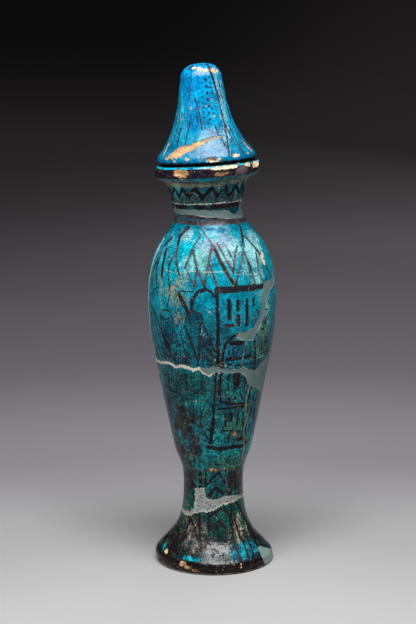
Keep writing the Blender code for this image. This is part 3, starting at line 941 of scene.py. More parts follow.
DARK_TOP_SPOTS = ((6.4, 177, 4, 2.2), (-0.5, 177.8, 3.5, 1.3))
SHOULDER_PATCHES = (
    ("folded", (0.006, 0.54, 0.68), 0.9, 0.6, (-11.1, 173, 8.5, 6), (-30, 165, 5, 6)),
    ("folded", (0.06, 0.52, 0.62), 0.85, 0.6, (-24, 172, 3.4, 5)),
    ("front", (0.28, 0.62, 0.66), 0.8, 0.6, (24.1, 168, 7.5, 9), (9.5, 167, 6, 8)),
    ("front", (0.38, 0.66, 0.68), 0.85, 0.6, (-13.2, 174.8, 4.2, 4.2)),
    ("front", (0.18, 0.52, 0.56), 0.75, 0.6, (-12.5, 161, 4.5, 5), (19.7, 160.5, 4.5, 5)),
    ("front", (0.28, 0.66, 0.68), 0.8, 0.6, (27.3, 162.5, 4.5, 5), (26.6, 154, 4, 4.5)),
    ("front", (0.11, 0.36, 0.36), 0.7, 0.6, (27.6, 145, 2.6, 5), (33, 128, 4, 6)),
    ("folded", (0.12, 0.20, 0.15), 0.55, 0.9, (-20, 145.5, 4.5, 6)),
    ("front", (0.001, 0.20, 0.34), 0.85, 0.6, *DARK_TOP_SPOTS),
    ("front", (0.20, 0.50, 0.48), 0.75, 0.6, (-4.8, 164, 5, 8), (33.5, 138, 3.6, 6.5)),
    ("front", (0.10, 0.27, 0.20), 0.7, 0.6, (29.5, 120, 7, 12)),
    ("front", (0.001, 0.30, 0.46), 0.45, 0.6, (13, 137, 10, 9), (10, 114, 6, 6)),
)
TAN_SPOTS = ((-16.7, 143.7, 4, 3.6), (-17.4, 135, 3, 4.6), (-29.6, 148, 1.6, 9),
             (-16, 152.6, 3.6, 4.6), (-22.5, 147, 4.6, 3.8))
LOWER_PATCHES = (
    ("folded", (0.03, 0.26, 0.23), 0.7, 0.7, (-4, 79, 2.6, 9)),
    ("front", (0.05, 0.20, 0.13), 0.7, 0.6, (8, 56, 12, 4), (12, 76, 6, 6)),
    ("folded", (0.001, 0.040, 0.080), 0.97, 0.1, (-9.3, 134.4, 4.6, 4.2)),
    ("folded", (0.001, 0.160, 0.240), 0.9, 0.1, (-9.4, 131.9, 3.8, 0.8)),
    ("folded", (0.001, 0.090, 0.130), 0.85, 0.25, (-9.6, 127, 6.5, 9), (-8.2, 117.5, 4, 9)),
    ("folded", (0.001, 0.060, 0.095), 0.95, 0.3, (-3, 120, 4.2, 11), (-25.8, 121, 3.6, 9),
     (-16, 112, 8, 4), (0.5, 112, 4, 3.5)),
    ("folded", (0.003, 0.085, 0.080), 0.65, 0.5, (-14, 97, 16, 9.5)),
    ("folded", (0.032, 0.026, 0.026), 0.95, 1.1, (-17, 79, 8, 11), (-21, 62, 9, 9),
     (-10, 66, 5, 9), (-28, 86, 2.8, 9), (-17, 46, 7, 8), (14, 47, 6, 5), (-26, 12, 9, 4),
     (-3, 13, 6, 3.6), (13, 22, 4.5, 6), (30, 17, 8, 4), (21, 42, 5, 9), (-21, 40, 5, 10)),
    ("folded", (0.110, 0.100, 0.080), 0.9, 0.8, (-12, 22, 8, 7)),
    ("front", (0.210, 0.195, 0.170), 0.85, 0.5, (-12, 14.5, 6, 8)),
    ("front", (0.360, 0.370, 0.270), 0.85, 0.6, (14.8, 18.5, 3.6, 8)),
    ("front", (0.100, 0.200, 0.150), 0.75, 0.6, (20.4, 17.5, 2.6, 6)),
    ("folded", (0.004, 0.33, 0.42), 0.95, 0.4, (18, 10.6, 11, 5.6)),
    ("folded", (0.004, 0.33, 0.42), 0.95, 0.4, (-33.5, 8.8, 1.9, 2.8)),
    ("folded", (0.004, 0.33, 0.42), 0.95, 0.4, (-12.5, 7.4, 7, 1.3)),
)
NECK_PATCHES = (
    ("front", (0.36, 0.36, 0.20), 0.8, 0.6, (-18, 200.6, 4.5, 2.2)),
    ("front", (0.001, 0.330, 0.420), 0.95, 0.4, (-2, 202.4, 8, 1.6)),
    ("front", (0.030, 0.360, 0.370), 0.75, 0.6, (-17.5, 195.5, 3.8, 5), (18, 195.5, 3.2, 5)),
)
WORN_RIM_PATCH = ("front", (0.15, 0.12, 0.11), 0.9, 0.3, (19, 206.4, 4.6, 2.6))
# painted highlight: a pale lavender glint along the front of the rim's top
RIM_PAINTED_GLINT = ("front", (0.46, 0.50, 0.72), 0.7, 0.3, (-1.5, 209.2, 5, 0.45))
LID_PATCHES = (
    ("front", (0.03, 0.44, 0.62), 0.55, 0.7, (-14, 22, 5, 12), (12.5, 28, 3.6, 14),
     (8.5, 38, 2.6, 8), (-3, 10, 7, 6)),
    ("front", (0.001, 0.17, 0.46), 0.6, 0.6, (-7.5, 33, 3, 10), (-4.5, 20, 3.4, 8), (9, 16, 3, 6)),
)

# whitish speckled patches, a painted sheen where the overhead light's glare falls, and on the lid also
# pale
# streaks: the vase's spots, and on the lid each patch's colour and strength before them
PAINTED_SHEEN_SPOTS = ((6, 171.5, 8, 3.4), (-3, 170.5, 4.5, 4.5))
LID_SHEENS_AND_PALE_STREAKS = (
    # the first two rows are pale streaks down the right side, the last two painted highlights under the
    # crown and low on the front
    ((0.01, 0.52, 0.72), 0.7, (17, 13, 3.2, 8), (15, 22, 2, 8)),
    ((0.28, 0.60, 0.66), 0.8, (9, 39, 1.6, 6.5), (11.5, 26, 2.6, 11), (11.5, 14, 2.6, 7)),
    ((0.40, 0.48, 0.66), 0.85, (0.8, 44, 5.2, 1.3)),
    ((0.185, 0.235, 0.335), 0.8, (0, 6.2, 12.5, 4.6), (3, 13, 4.6, 4.4)),
)

# Rings, zigzags and bands that run all round

# rings: level and half width
VASE_RINGS = ((180.7, 1.2), (183, 0.45), (51.6, 0.5))
BROKEN_RING = (188.7, 1.3)
# zigzags: level, height, count, turn, slope of the arms, half width
NECK_ZIGZAG = (196, 5, 17, 0.25, 0.58, 0.95)
SMALL_ZIGZAG = (192.4, 3, 17, 0.25, 0.7, 0.6)
RIM_ZIGZAG = (201.9, 3.2, 14, 0.1, 0.85, 0.5)
# bands: lowest and highest level
FOOT_BLACK = (1.2, 6.4)
WORN_NECK = (189.8, 198)
OLIVE_MEND = (198.9, 203)
RIM_BLACK = (203.9, 208.7)
RIM_TURQUOISE = (208.9, 209.6)
SEAM_LEVEL = 190.2


def dots(columns):
    """Columns of round dots, as strokes that hardly move."""
    made = []
    for radius, start, end, count in columns:
        for share in np.linspace(0.0, 1.0, count):
            x, y = mix(start[0], end[0], share), mix(start[1], end[1], share)
            made.append((radius, ((x, y), (x, y - 0.35))))
    return made


# Colours of the paint, the bare body and the mends

# the dark of the paint, also laid as painted shadow in the seat under the lid and along the lid's
# lowest edge
DARK_PAINT_AND_SHADOW = (0.006, 0.003, 0.005)
PAINT_BROWN = (0.050, 0.022, 0.018)
PAINT_MAUVE = (0.110, 0.058, 0.064)
PAINT_RED = (0.095, 0.018, 0.014)
EDGE_BLACK = (0.007, 0.005, 0.006)
EDGE_BROWN = (0.050, 0.034, 0.022)
PURPLE_BLACK = (0.014, 0.008, 0.014)
PURPLE_GREY = (0.044, 0.036, 0.044)
TURQUOISE = (0.006, 0.46, 0.68)
SAND = (0.52, 0.38, 0.20)
RUST = (0.24, 0.10, 0.04)
TAN_FILM = (0.29, 0.26, 0.13)
# painted highlight: the tint of the shoulder's painted sheen
PAINTED_SHEEN = (0.19, 0.26, 0.36)
BASE_TAN = (0.28, 0.23, 0.14)
SEAM_PALE = (0.50, 0.50, 0.42)
CRACK_CREAM = (0.62, 0.50, 0.32)
CRACK_TAN = (0.36, 0.30, 0.18)
CRACK_DARK = (0.05, 0.08, 0.06)
# the white of the plaster, and of the painted highlight along the left edge
PLASTER_AND_HIGHLIGHT_WHITE = (0.66, 0.60, 0.50)
MEND_OLIVE = (0.170, 0.185, 0.120)
WORN_OLIVE = (0.26, 0.32, 0.26)
FILL_BORDER = (0.50, 0.46, 0.36)
FOOT_FILL_TINT = (1.32, 1.26, 1.20)
COARSE_FILL = (0.38, 0.41, 0.38)
COARSE_FILL_DARK = (0.09, 0.11, 0.11)
COARSE_BORDER = (0.56, 0.50, 0.38)
VASE_CHIP_BORDER = (0.05, 0.035, 0.025)
LID_CHIP_BORDER = (0.04, 0.05, 0.05)
BARE_TONES = (
    (0.06, (0.86, 0.76, 0.58)), (0.30, (0.74, 0.55, 0.34)), (0.52, (0.60, 0.36, 0.17)),
    (0.74, (0.34, 0.18, 0.07)), (0.95, (0.13, 0.06, 0.03)))
FILL_TONES = (
    (0.30, (0.100, 0.165, 0.165)), (0.50, (0.145, 0.215, 0.205)), (0.72, (0.20, 0.275, 0.250)))

# what clouds, mottles and specks do to a glaze: from and to which value, how much, by what tint
MOTTLE_TINTS = (
    ("Cloud", 0.46, 0.62, 0.75, (0.25, 0.45, 0.58)),
    ("Cloud", 0.48, 0.34, 0.55, (1.5, 1.40, 1.30)),
    ("Mottle", 0.50, 0.60, 0.85, (0.28, 0.34, 0.40)),
    ("Mottle", 0.47, 0.37, 0.75, (1.6, 1.55, 1.45)),
    ("Speckle", 0.50, 0.59, 0.85, (0.24, 0.30, 0.34)),
    ("Speckle", 0.48, 0.39, 0.80, (2.2, 1.75, 1.50)),
)
STREAK_TINT = (0.22, 0.26, 0.28)


# Shader groups for the glazes

SHADER = "ShaderNodeTree"


def brush_stroke():
    """Distance from a place to one straight stroke's edge, below zero on the stroke."""
    tree, given, end = new_group("brush stroke", SHADER, (
        ("Place", VECTOR, None), ("Start", VECTOR, None), ("Span", VECTOR, None),
        ("Span Share", VECTOR, None), ("Half Width", NUMBER, 0.5)), (("Distance", NUMBER),))
    away = given["Place"].vector("SUBTRACT", given["Start"])
    share = add_node(tree, "ShaderNodeClamp", {
        "Value": away.vector("DOT_PRODUCT", given["Span Share"], out=1)})
    share = Field(tree, share.outputs[0])
    distance = away.vector("DISTANCE", given["Span"].scaled(share), out=1)
    feed(end.inputs["Distance"], distance - given["Half Width"])
    return tree


def painted_lines(name, lines, profile):
    """A group that gives the distance to the nearest of these lines."""
    tree, given, end = new_group(name, SHADER, (("Place", VECTOR, None),), (("Distance", NUMBER),))
    nearest = None
    for half_width, points in lines:
        places = on_surface(profile, points)
        for start, stop in zip(places, places[1:]):
            span = stop - start
            distance = place_group(
                tree, BRUSH_STROKE, Place=given["Place"], Start=(*start, 0.0), Span=(*span, 0.0),
                Span_Share=(*(span / max(span @ span, 1e-6)), 0.0), Half_Width=half_width)
            nearest = distance if nearest is None else nearest.math("MINIMUM", distance)
    feed(end.inputs["Distance"], nearest)
    return tree


def surface_place():
    """Where a point of the glaze is: round and along the piece, in millimetres."""
    tree, given, end = new_group("surface place", SHADER, (("Wobble", NUMBER, 0.25),), (
        ("Front", VECTOR), ("Folded", VECTOR), ("Angle", NUMBER), ("Run", NUMBER),
        ("Object mm", VECTOR)))
    named = add_node(tree, "ShaderNodeAttribute", attribute_name="surface")
    angle, run, reach = Field(tree, named.outputs["Vector"]).parts()
    point = object_coordinates(tree).scaled(1.0 / MM)
    across = (noise_at(point, 4.0, 2.0) - 0.5) * given["Wobble"] * 2.0
    upward = (noise_at(point.vector("ADD", (31.0, 17.0, 5.0)), 4.0, 2.0) - 0.5) * given["Wobble"] * 2.0
    # past the sides the left-hand motifs come again, mirrored
    half_turn = angle.math("ABSOLUTE").math("PINGPONG", math.pi / 2) * -1.0
    behind = angle.math("ABSOLUTE").math("GREATER_THAN", math.pi / 2)
    folded = angle + behind * (half_turn - angle)
    feed_all(end, Front=combine(angle * reach + across, run + upward),
             Folded=combine(folded * reach + across, run + upward),
             Angle=angle, Run=run + upward, Object_mm=point)
    return tree


def worn_paint():
    """How much paint is left where a distance is below zero, and how thin it is."""
    tree, given, end = new_group("worn paint", SHADER, (
        ("Distance", NUMBER, 1.0), ("Wear", NUMBER, 0.3), ("Place", VECTOR, None)),
        (("Ink", NUMBER), ("Thinness", NUMBER)))
    line = frayed(given["Distance"], given["Place"], 0.9, 1.5, 3.0).smooth(0.18, -0.16)
    patches = noise_at(given["Place"], 6.0, 4.0, 0.65)
    fine = noise_at(given["Place"], 0.9, 2.0, 0.6)
    kept = (patches * 0.6 + fine * 0.4 - given["Wear"] * 0.22).smooth(0.30, 0.46)
    feed(end.inputs["Ink"], line * (1.0 - given["Wear"] * 0.55 * (1.0 - kept)))
    feed(end.inputs["Thinness"], 1.0 - kept * (1.0 - given["Wear"] * 0.5))
    return tree


def band():
    """A mask over a stretch of the outline, with frayed edges."""
    tree, given, end = new_group("band", SHADER, (
        ("Run", NUMBER, 0.0), ("Low", NUMBER, 0.0), ("High", NUMBER, 1.0),
        ("Softness", NUMBER, 0.3), ("Fray", NUMBER, 0.4), ("Place", VECTOR, None)),
        (("Mask", NUMBER),))
    at = given["Run"] + (noise_at(given["Place"], 2.2, 4.0, 0.65) - 0.5) * given["Fray"] * 4.0
    above = at.smooth(given["Low"] - given["Softness"], given["Low"] + given["Softness"])
    below = at.smooth(given["High"] + given["Softness"], given["High"] - given["Softness"])
    feed(end.inputs["Mask"], above * below)
    return tree


def zigzag():
    """Distance to a zigzag line that runs round the piece."""
    tree, given, end = new_group("zigzag", SHADER, (
        ("Angle", NUMBER, 0.0), ("Run", NUMBER, 0.0), ("Middle", NUMBER, 0.0),
        ("Height", NUMBER, 4.0), ("Count", NUMBER, 12.0), ("Turn", NUMBER, 0.0),
        ("Slope", NUMBER, 0.6), ("Half Width", NUMBER, 0.5)), (("Distance", NUMBER),))
    turns = given["Angle"] * (1.0 / (2.0 * math.pi)) * given["Count"] + given["Turn"]
    wave = (turns.math("PINGPONG", 0.5) * 2.0 - 0.5) * given["Height"]
    off = (given["Run"] - given["Middle"] - wave).math("ABSOLUTE") * given["Slope"]
    feed(end.inputs["Distance"], off - given["Half Width"])
    return tree


def soft_spot():
    """A ragged round patch on the piece: 1 in its middle, 0 outside."""
    tree, given, end = new_group("soft spot", SHADER, (
        ("Place", VECTOR, None), ("Middle", VECTOR, None), ("Narrowness", VECTOR, None),
        ("Ragged", NUMBER, 0.4), ("Object mm", VECTOR, None)), (("Mask", NUMBER),))
    away = given["Place"].vector("SUBTRACT", given["Middle"])
    away = away.vector("MULTIPLY", given["Narrowness"])
    ragged = (noise_at(given["Object mm"], 4.0, 6.0, 0.75) - 0.5) * given["Ragged"] * 4.0
    feed(end.inputs["Mask"], (away.vector("LENGTH", out=1) + ragged).smooth(1.2, 0.5))
    return tree


def bare_faience():
    """The sandy body under the glaze: cream at tone 0, orange-brown at 1."""
    tree, given, end = new_group("bare faience", SHADER, (
        ("Tone", NUMBER, 0.4), ("Object mm", VECTOR, None),), (("Color", COLOR), ("Height", NUMBER)))
    grain = noise_at(given["Object mm"], 0.5, 4.0, 0.75)
    patches = noise_at(given["Object mm"], 2.2, 4.0, 0.65)
    tone = given["Tone"] * 0.75 + patches * 1.1 + grain * 0.7 - 0.775
    feed(end.inputs["Color"], ramp(tone, BARE_TONES))
    feed(end.inputs["Height"], grain)
    return tree


def smooth_fill():
    """Grey-green mending plaster, nearly even."""
    tree, given, end = new_group("smooth fill", SHADER, (("Object mm", VECTOR, None),),
                                 (("Color", COLOR),))
    cloud = noise_at(given["Object mm"], 7.0, 3.0)
    fine = noise_at(given["Object mm"], 0.8, 3.0, 0.7)
    feed(end.inputs["Color"], ramp(cloud * 0.6 + fine * 0.4, FILL_TONES))
    return tree


def glaze_depth():
    """Clouds, mottles, grains of sand and ripples that every glaze here shows."""
    tree, given, end = new_group("glaze depth", SHADER, (
        ("Object mm", VECTOR, None), ("Folded", VECTOR, None)), tuple(
        (name, NUMBER) for name in ("Cloud", "Mottle", "Speckle", "Streak", "Grains", "Height")))
    point = given["Object mm"]
    cloud = noise_at(point, 13.0, 4.0, 0.6)
    mottle = noise_at(point, 3.4, 5.0, 0.7)
    speckle = noise_at(point, 1.0, 3.0, 0.75)
    streak = noise_at(given["Folded"], 1.0, 3.0, 0.6, stretch=(0.85, 0.07, 1.0))
    spread = noise_at(point, 8.0, 3.0, 0.6)
    large = cells_at(point, 3.6) - spread.smooth(0.45, 0.72, 0.0, 0.19)
    large = large.smooth(0.03, -0.03)
    small = cells_at(point, 1.35) - spread.smooth(0.42, 0.66, 0.02, 0.24)
    small = small.smooth(0.06, -0.04)
    ripple = noise_at(point, 1.9, 3.0, 0.6)
    grain = noise_at(point, 0.42, 2.0, 0.6)
    feed_all(end, Cloud=cloud, Mottle=mottle, Speckle=speckle, Streak=streak,
             Grains=large.math("MAXIMUM", small * 0.55), Height=ripple + grain * 0.30 - large * 0.3)
    return tree


def glaze_shades():
    """Deepens and lightens a glaze colour by its clouds, mottles and streaks."""
    tree, given, end = new_group("glaze shades", SHADER, (
        ("Color", COLOR, (0.01, 0.3, 0.35, 1.0)), ("Cloud", NUMBER, 0.5), ("Mottle", NUMBER, 0.5),
        ("Speckle", NUMBER, 0.5), ("Streak", NUMBER, 0.5), ("Streak Share", NUMBER, 0.4),
        ("Contrast", NUMBER, 1.0)), (("Color", COLOR),))
    contrast = given["Contrast"]
    color = given["Color"]
    for value, low, high, share, tint in MOTTLE_TINTS:
        mask = given[value].smooth(low, high, 0.0, share) * contrast
        color = blend(mask, color, tint, "MULTIPLY")
    streaks = given["Streak"].smooth(0.50, 0.64) * given["Streak Share"]
    feed(end.inputs["Color"], blend(streaks, color, STREAK_TINT, "MULTIPLY"))
    return tree


BRUSH_STROKE = brush_stroke()
SURFACE_PLACE = surface_place()
WORN_PAINT = worn_paint()
BAND = band()
ZIGZAG = zigzag()
SOFT_SPOT = soft_spot()
BARE_FAIENCE = bare_faience()
SMOOTH_FILL = smooth_fill()
GLAZE_DEPTH = glaze_depth()
GLAZE_SHADES = glaze_shades()


# The glazes

def glossy_base(name):
    """A new material, its tree, and its Principled shader."""
    material = bpy.data.materials.new(name)
    material.use_nodes = True
    tree = material.node_tree
    shader = tree.nodes["Principled BSDF"]
    shader.inputs["Metallic"].default_value = 0.0
    shader.inputs["IOR"].default_value = GLAZE_IOR
    return material, tree, shader


class Glaze:
    """A glaze in the making: where its points are, its clouds, and its colour so far."""

    def __init__(self, name, profile, wobble):
        self.material, self.tree, self.shader = glossy_base(name)
        self.profile = profile
        self.front, self.folded, self.angle, self.run, self.point = place_group(
            self.tree, SURFACE_PLACE, Wobble=wobble)
        (self.cloud, self.mottle, self.speckle, self.streak, self.grains,
         self.height) = place_group(self.tree, GLAZE_DEPTH, Object_mm=self.point, Folded=self.folded)
        self.color = self.matt = None

    def over(self, mask, tint):
        """Lays a colour over the glaze where the mask is 1."""
        self.color = blend(mask, self.color, tint)

    def duller(self, share):
        """Takes the shine away, by a share from 0 to 1."""
        self.matt = self.matt.math("MAXIMUM", share)

    def ground(self, shades, cloudiness):
        """The glaze's own colour by level, with its borders drawn cloudy."""
        top = self.profile.outer_run[-1]
        shade = self.run * (1.0 / top) + (self.cloud - 0.5) * cloudiness
        stops = [(self.profile.run_at(level) / top, tint) for level, tint in shades]
        self.color = ramp(shade, stops)

    def mottled(self, streak_share, contrast):
        self.color = place_group(
            self.tree, GLAZE_SHADES, Color=self.color, Cloud=self.cloud, Mottle=self.mottle,
            Speckle=self.speckle, Streak=self.streak, Streak_Share=streak_share, Contrast=contrast)

    def spots(self, side, ragged, spots):
        """A mask of soft ragged spots: place round, level, half width, half height."""
        mask = None
        for around, level, half_width, half_height in spots:
            middle = on_surface(self.profile, [(around, level)])[0]
            spot = place_group(
                self.tree, SOFT_SPOT, Place=side, Middle=(*middle, 0.0), Ragged=ragged,
                Narrowness=(1.0 / half_width, 1.0 / half_height, 1.0), Object_mm=self.point)
            mask = spot if mask is None else mask.math("MAXIMUM", spot)
        return mask

    def patches(self, *rows):
        """Soft patches of other colours, one row after the other."""
        for side, tint, strength, ragged, *spots in rows:
            self.over(self.spots(getattr(self, side), ragged, spots) * strength, tint)

    def rising(self, low, high, start=0.0, end=1.0):
        """A soft step from one level to another."""
        return self.run.smooth(self.profile.run_at(low), self.profile.run_at(high), start, end)

    def off_level(self, level):
        """How far a point is above or below a level, along the outline."""
        return (self.run - self.profile.run_at(level)).math("ABSOLUTE")

    def belt(self, levels, softness, fray):
        """A mask round the piece, from one level up to another."""
        low, high = (self.profile.run_at(level) for level in levels)
        return self.band(low, high, softness, fray)

    def band(self, low, high, softness, fray):
        return place_group(self.tree, BAND, Run=self.run, Low=low, High=high, Softness=softness,
                           Fray=fray, Place=self.point)

    def lines(self, name, table, side):
        """Distance to the nearest line of a table."""
        return place_group(self.tree, painted_lines(name, table, self.profile), Place=side)

    def paint(self, distance, wear, share, thin_color, shine_lost):
        """Lays worn paint where the distance is below zero."""
        ink, thin = place_group(self.tree, WORN_PAINT, Distance=distance, Wear=wear,
                                Place=self.point)
        self.over(ink * share, blend(thin, DARK_PAINT_AND_SHADOW, thin_color))
        self.duller(ink * shine_lost)

    def stored(self, name):
        """A distance or a tone that the piece's mesh keeps."""
        node = add_node(self.tree, "ShaderNodeAttribute", attribute_name=name)
        return Field(self.tree, node.outputs["Fac"])

    def chipped(self, size, fray, border, border_share, border_tint):
        """Chips down to the bare body, and the dark border of the glaze round them."""
        bare_color, bare_height = place_group(self.tree, BARE_FAIENCE, Tone=self.stored("chip_tone"),
                                              Object_mm=self.point)
        edge = frayed(self.stored("chip_edge"), self.point, size, fray, 5.0, 0.75)
        chip = edge.smooth(0.10, -0.12)
        self.over(edge.math("ABSOLUTE").smooth(border, 0.1) * border_share, border_tint)
        self.over(chip, bare_color)
        return chip, bare_height

    def finish(self, rough, relief, strength):
        true_tint = (TRUE_TONE, TRUE_TONE, TRUE_TONE)
        feed(self.shader.inputs["Base Color"], blend(1.0, self.color, true_tint, "MULTIPLY"))
        feed(self.shader.inputs["Roughness"], rough + self.matt * MATT_ROUGHNESS)
        self.shader.inputs["Specular IOR Level"].default_value = GLAZE_SPECULAR
        bump = add_node(self.tree, "ShaderNodeBump", {
            "Height": relief, "Strength": strength, "Distance": BUMP_DEPTH * MM})
        feed(self.shader.inputs["Normal"], Field(self.tree, bump.outputs["Normal"]))
        return self.material


def vase_ground(glaze):
    """The glaze from the foot up, with its patches under the finer mottling."""
    grit = glaze.speckle.smooth(0.53, 0.47)
    glaze.ground(VASE_SHADES, 0.04)
    glaze.patches(*SHOULDER_PATCHES)
    glaze.patches(("folded", TAN_FILM, grit * 0.5 + 0.15, 1.2, *TAN_SPOTS))
    glaze.patches(*LOWER_PATCHES)
    low_down = glaze.rising(138, 112)
    glaze.mottled(low_down * 0.6 + 0.2, low_down * 0.5 + 0.65)
    elsewhere = glaze.point.vector("ADD", (5.0, 8.0, 3.0))
    rust = noise_at(elsewhere, 0.9, 3.0, 0.7).smooth(0.61, 0.66)
    glaze.over(rust * low_down * 0.75 * glaze.cloud.smooth(0.42, 0.56), RUST)


def vase_painted_sheen(glaze):
    """A painted highlight: a whitish speckled sheen at the top of the shoulder, where the overhead
    light's glare falls.
    """
    painted_sheen = glaze.spots(glaze.front, 0.9, PAINTED_SHEEN_SPOTS)
    glaze.over(painted_sheen * glaze.speckle.smooth(0.56, 0.46) * 0.65, PAINTED_SHEEN)
    return painted_sheen


def vase_neck(glaze):
    """The olive mend under the rim, the worn neck and the pale seam at its foot."""
    mend = glaze.belt(OLIVE_MEND, 0.3, 0.6)
    glaze.over(mend * glaze.mottle.smooth(0.57, 0.50), MEND_OLIVE)
    glaze.patches(*NECK_PATCHES)
    worn = glaze.belt(WORN_NECK, 0.6, 0.6)
    glaze.over(worn * glaze.mottle.smooth(0.54, 0.62) * 0.5, WORN_OLIVE)
    seam = glaze.off_level(SEAM_LEVEL) + noise_at(glaze.point, 2.0, 3.0) * 2.4 - 1.45
    glaze.over(seam.smooth(0.25, -0.1) * 0.85, SEAM_PALE)


def vase_rings(glaze):
    """Distances to the rings, the broken ring, the neck's zigzag and the fainter ones."""
    run, point = glaze.run, glaze.point
    ring = None
    for level, half_width in VASE_RINGS:
        distance = glaze.off_level(level) - half_width
        ring = distance if ring is None else ring.math("MINIMUM", distance)
    level, half_width = BROKEN_RING
    broken = glaze.off_level(level) - half_width
    broken = broken + noise_at(point, 4.5, 4.0).smooth(0.52, 0.60) * 2.0
    loose_run = frayed(run, point, 7.0, 3.6, 2.0)
    loose_angle = frayed(glaze.angle, point.vector("ADD", (9.0, 4.0, 2.0)), 9.0, 0.25, 2.0)

    def zigzag_line(angle, at_run, shape):
        level, height, count, turn, slope, half_width = shape
        return place_group(glaze.tree, ZIGZAG, Angle=angle, Run=at_run, Middle=VASE.run_at(level),
                           Height=height, Count=count, Turn=turn, Slope=slope,
                           Half_Width=half_width)

    neck_zigzag = zigzag_line(loose_angle, loose_run, NECK_ZIGZAG)
    small_zigzag = zigzag_line(loose_angle, run, SMALL_ZIGZAG)
    rim_zigzag = zigzag_line(glaze.angle, run, RIM_ZIGZAG)
    return ring, broken, neck_zigzag, small_zigzag.math("MINIMUM", rim_zigzag)


def vase_paint(glaze, painted_sheen):
    """Everything painted on the vase, and where the shine is lost."""
    front, folded = glaze.front, glaze.folded
    ring, broken, neck_zigzag, faint_zigzags = vase_rings(glaze)
    shoulder = glaze.lines("shoulder lines", SHOULDER_LINES, folded)
    right_shoulder = glaze.lines("right shoulder lines",
                                 SHOULDER_LINES[3:10] + SHOULDER_LINES[18:], front)
    stalks = glaze.lines("stalk lines", STALK_LINES, folded)
    panel = glaze.lines("panel frame", PANEL_FRAME_LINES, front)
    strokes = glaze.lines("panel strokes", PANEL_STROKES, front)
    foot = glaze.lines("foot lines", FOOT_LINES, folded)
    right_foot = glaze.lines("right foot lines", FOOT_LINES[8:], front)
    unshining = glaze.spots(front, 0.6, DARK_TOP_SPOTS)
    glaze.matt = (painted_sheen * 0.3).math("MAXIMUM", unshining * 0.9)
    for distance, wear, thin_color, shine_lost in (
        (ring, 0.55, PAINT_MAUVE, 0.3),
        (broken, 0.1, PAINT_BROWN, 0.8),
        (neck_zigzag, 0.05, PAINT_BROWN, 0.9),
        (faint_zigzags, 0.7, PAINT_BROWN, 0.6),
        (shoulder.math("MINIMUM", right_shoulder) - 0.12, 0.42, PAINT_MAUVE, 0.5),
        (stalks, 0.20, PAINT_BROWN, 0.9),
        (panel.math("MINIMUM", strokes), 0.04, PAINT_BROWN, 0.95),
        (foot.math("MINIMUM", right_foot) - 0.12, 0.05, PAINT_BROWN, 0.7),
    ):
        glaze.paint(distance, wear, 0.97, thin_color, shine_lost)


def vase_edges(glaze):
    """The black edge of the foot, the purple-black rim and its turquoise top, a painted glint along the
    rim, and painted shadow in the seat under the lid.
    """
    speckle, mottle = glaze.speckle, glaze.mottle
    glaze.over(glaze.belt(FOOT_BLACK, 0.3, 0.5),
               blend(speckle.smooth(0.54, 0.66), EDGE_BLACK, EDGE_BROWN))
    rim = glaze.belt(RIM_BLACK, 0.25, 0.2)
    glaze.over(rim, blend(mottle.smooth(0.50, 0.62), PURPLE_BLACK, PURPLE_GREY))
    glaze.patches(WORN_RIM_PATCH)
    turquoise = glaze.belt(RIM_TURQUOISE, 0.15, 0.2)
    glaze.over(turquoise * mottle.smooth(0.58, 0.50), TURQUOISE)
    # painted highlight: the glint on the rim
    glaze.patches(RIM_PAINTED_GLINT)
    # painted shadow: the rim's top under the lid, darkened for the shade in the gap
    glaze.over(glaze.rising(209.7, 210, 0.0, 0.95), DARK_PAINT_AND_SHADOW)
    glaze.over(glaze.grains * 0.9, SAND)


def vase_cracks(glaze, open_part):
    """The fine cracks, the wide ones filled with white plaster, and a painted highlight along the
    body's left edge, drawn like them.
    """
    front, point = glaze.front, glaze.point
    crack = glaze.lines("shoulder crack", SHOULDER_CRACK, front).smooth(0.25, -0.15)
    glaze.over(crack * (open_part * 0.5 + 0.08), CRACK_CREAM)
    tan = frayed(glaze.lines("tan cracks", TAN_CRACKS, front), point, 1.3, 1.8).smooth(0.3, -0.2)
    glaze.over(tan * (noise_at(point, 3.0, 2.0).smooth(0.35, 0.6) * 0.6 + 0.2), CRACK_TAN)
    # these white lines hold the plaster and the painted highlight along the left edge
    plaster = frayed(glaze.lines("plaster cracks and edge highlight", PLASTER_CRACKS_AND_EDGE_HIGHLIGHT, front), point, 1.3, 2.6)
    plaster = plaster.smooth(0.2, -0.2)
    glaze.over(plaster, PLASTER_AND_HIGHLIGHT_WHITE)
    return crack, tan, plaster


def vase_fills(glaze, open_part):
    """The smooth fills, lighter at the foot, and the coarse one over the stem."""
    point = glaze.point
    fill_edge = frayed(glaze.stored("fill_edge"), point, 1.3, 1.6)
    fill = fill_edge.smooth(0.12, -0.12)
    plain = place_group(glaze.tree, SMOOTH_FILL, Object_mm=point)
    glaze.over(fill, blend(glaze.rising(18, 14), plain, FOOT_FILL_TINT, "MULTIPLY"))
    glaze.over(fill_edge.math("ABSOLUTE").smooth(0.30, 0.05) * open_part * 0.7, FILL_BORDER)
    coarse_edge = frayed(glaze.stored("coarse_edge"), point, 1.3, 2.8)
    coarse = coarse_edge.smooth(0.12, -0.12)
    gravel = noise_at(point, 0.55, 2.0, 0.8).smooth(0.40, 0.62)
    color = blend(gravel, COARSE_FILL, COARSE_FILL_DARK)
    color = blend(coarse_edge.smooth(-0.8, -0.1, 0.0, 0.8), color, COARSE_BORDER)
    glaze.over(coarse, color)
    return fill, coarse, gravel


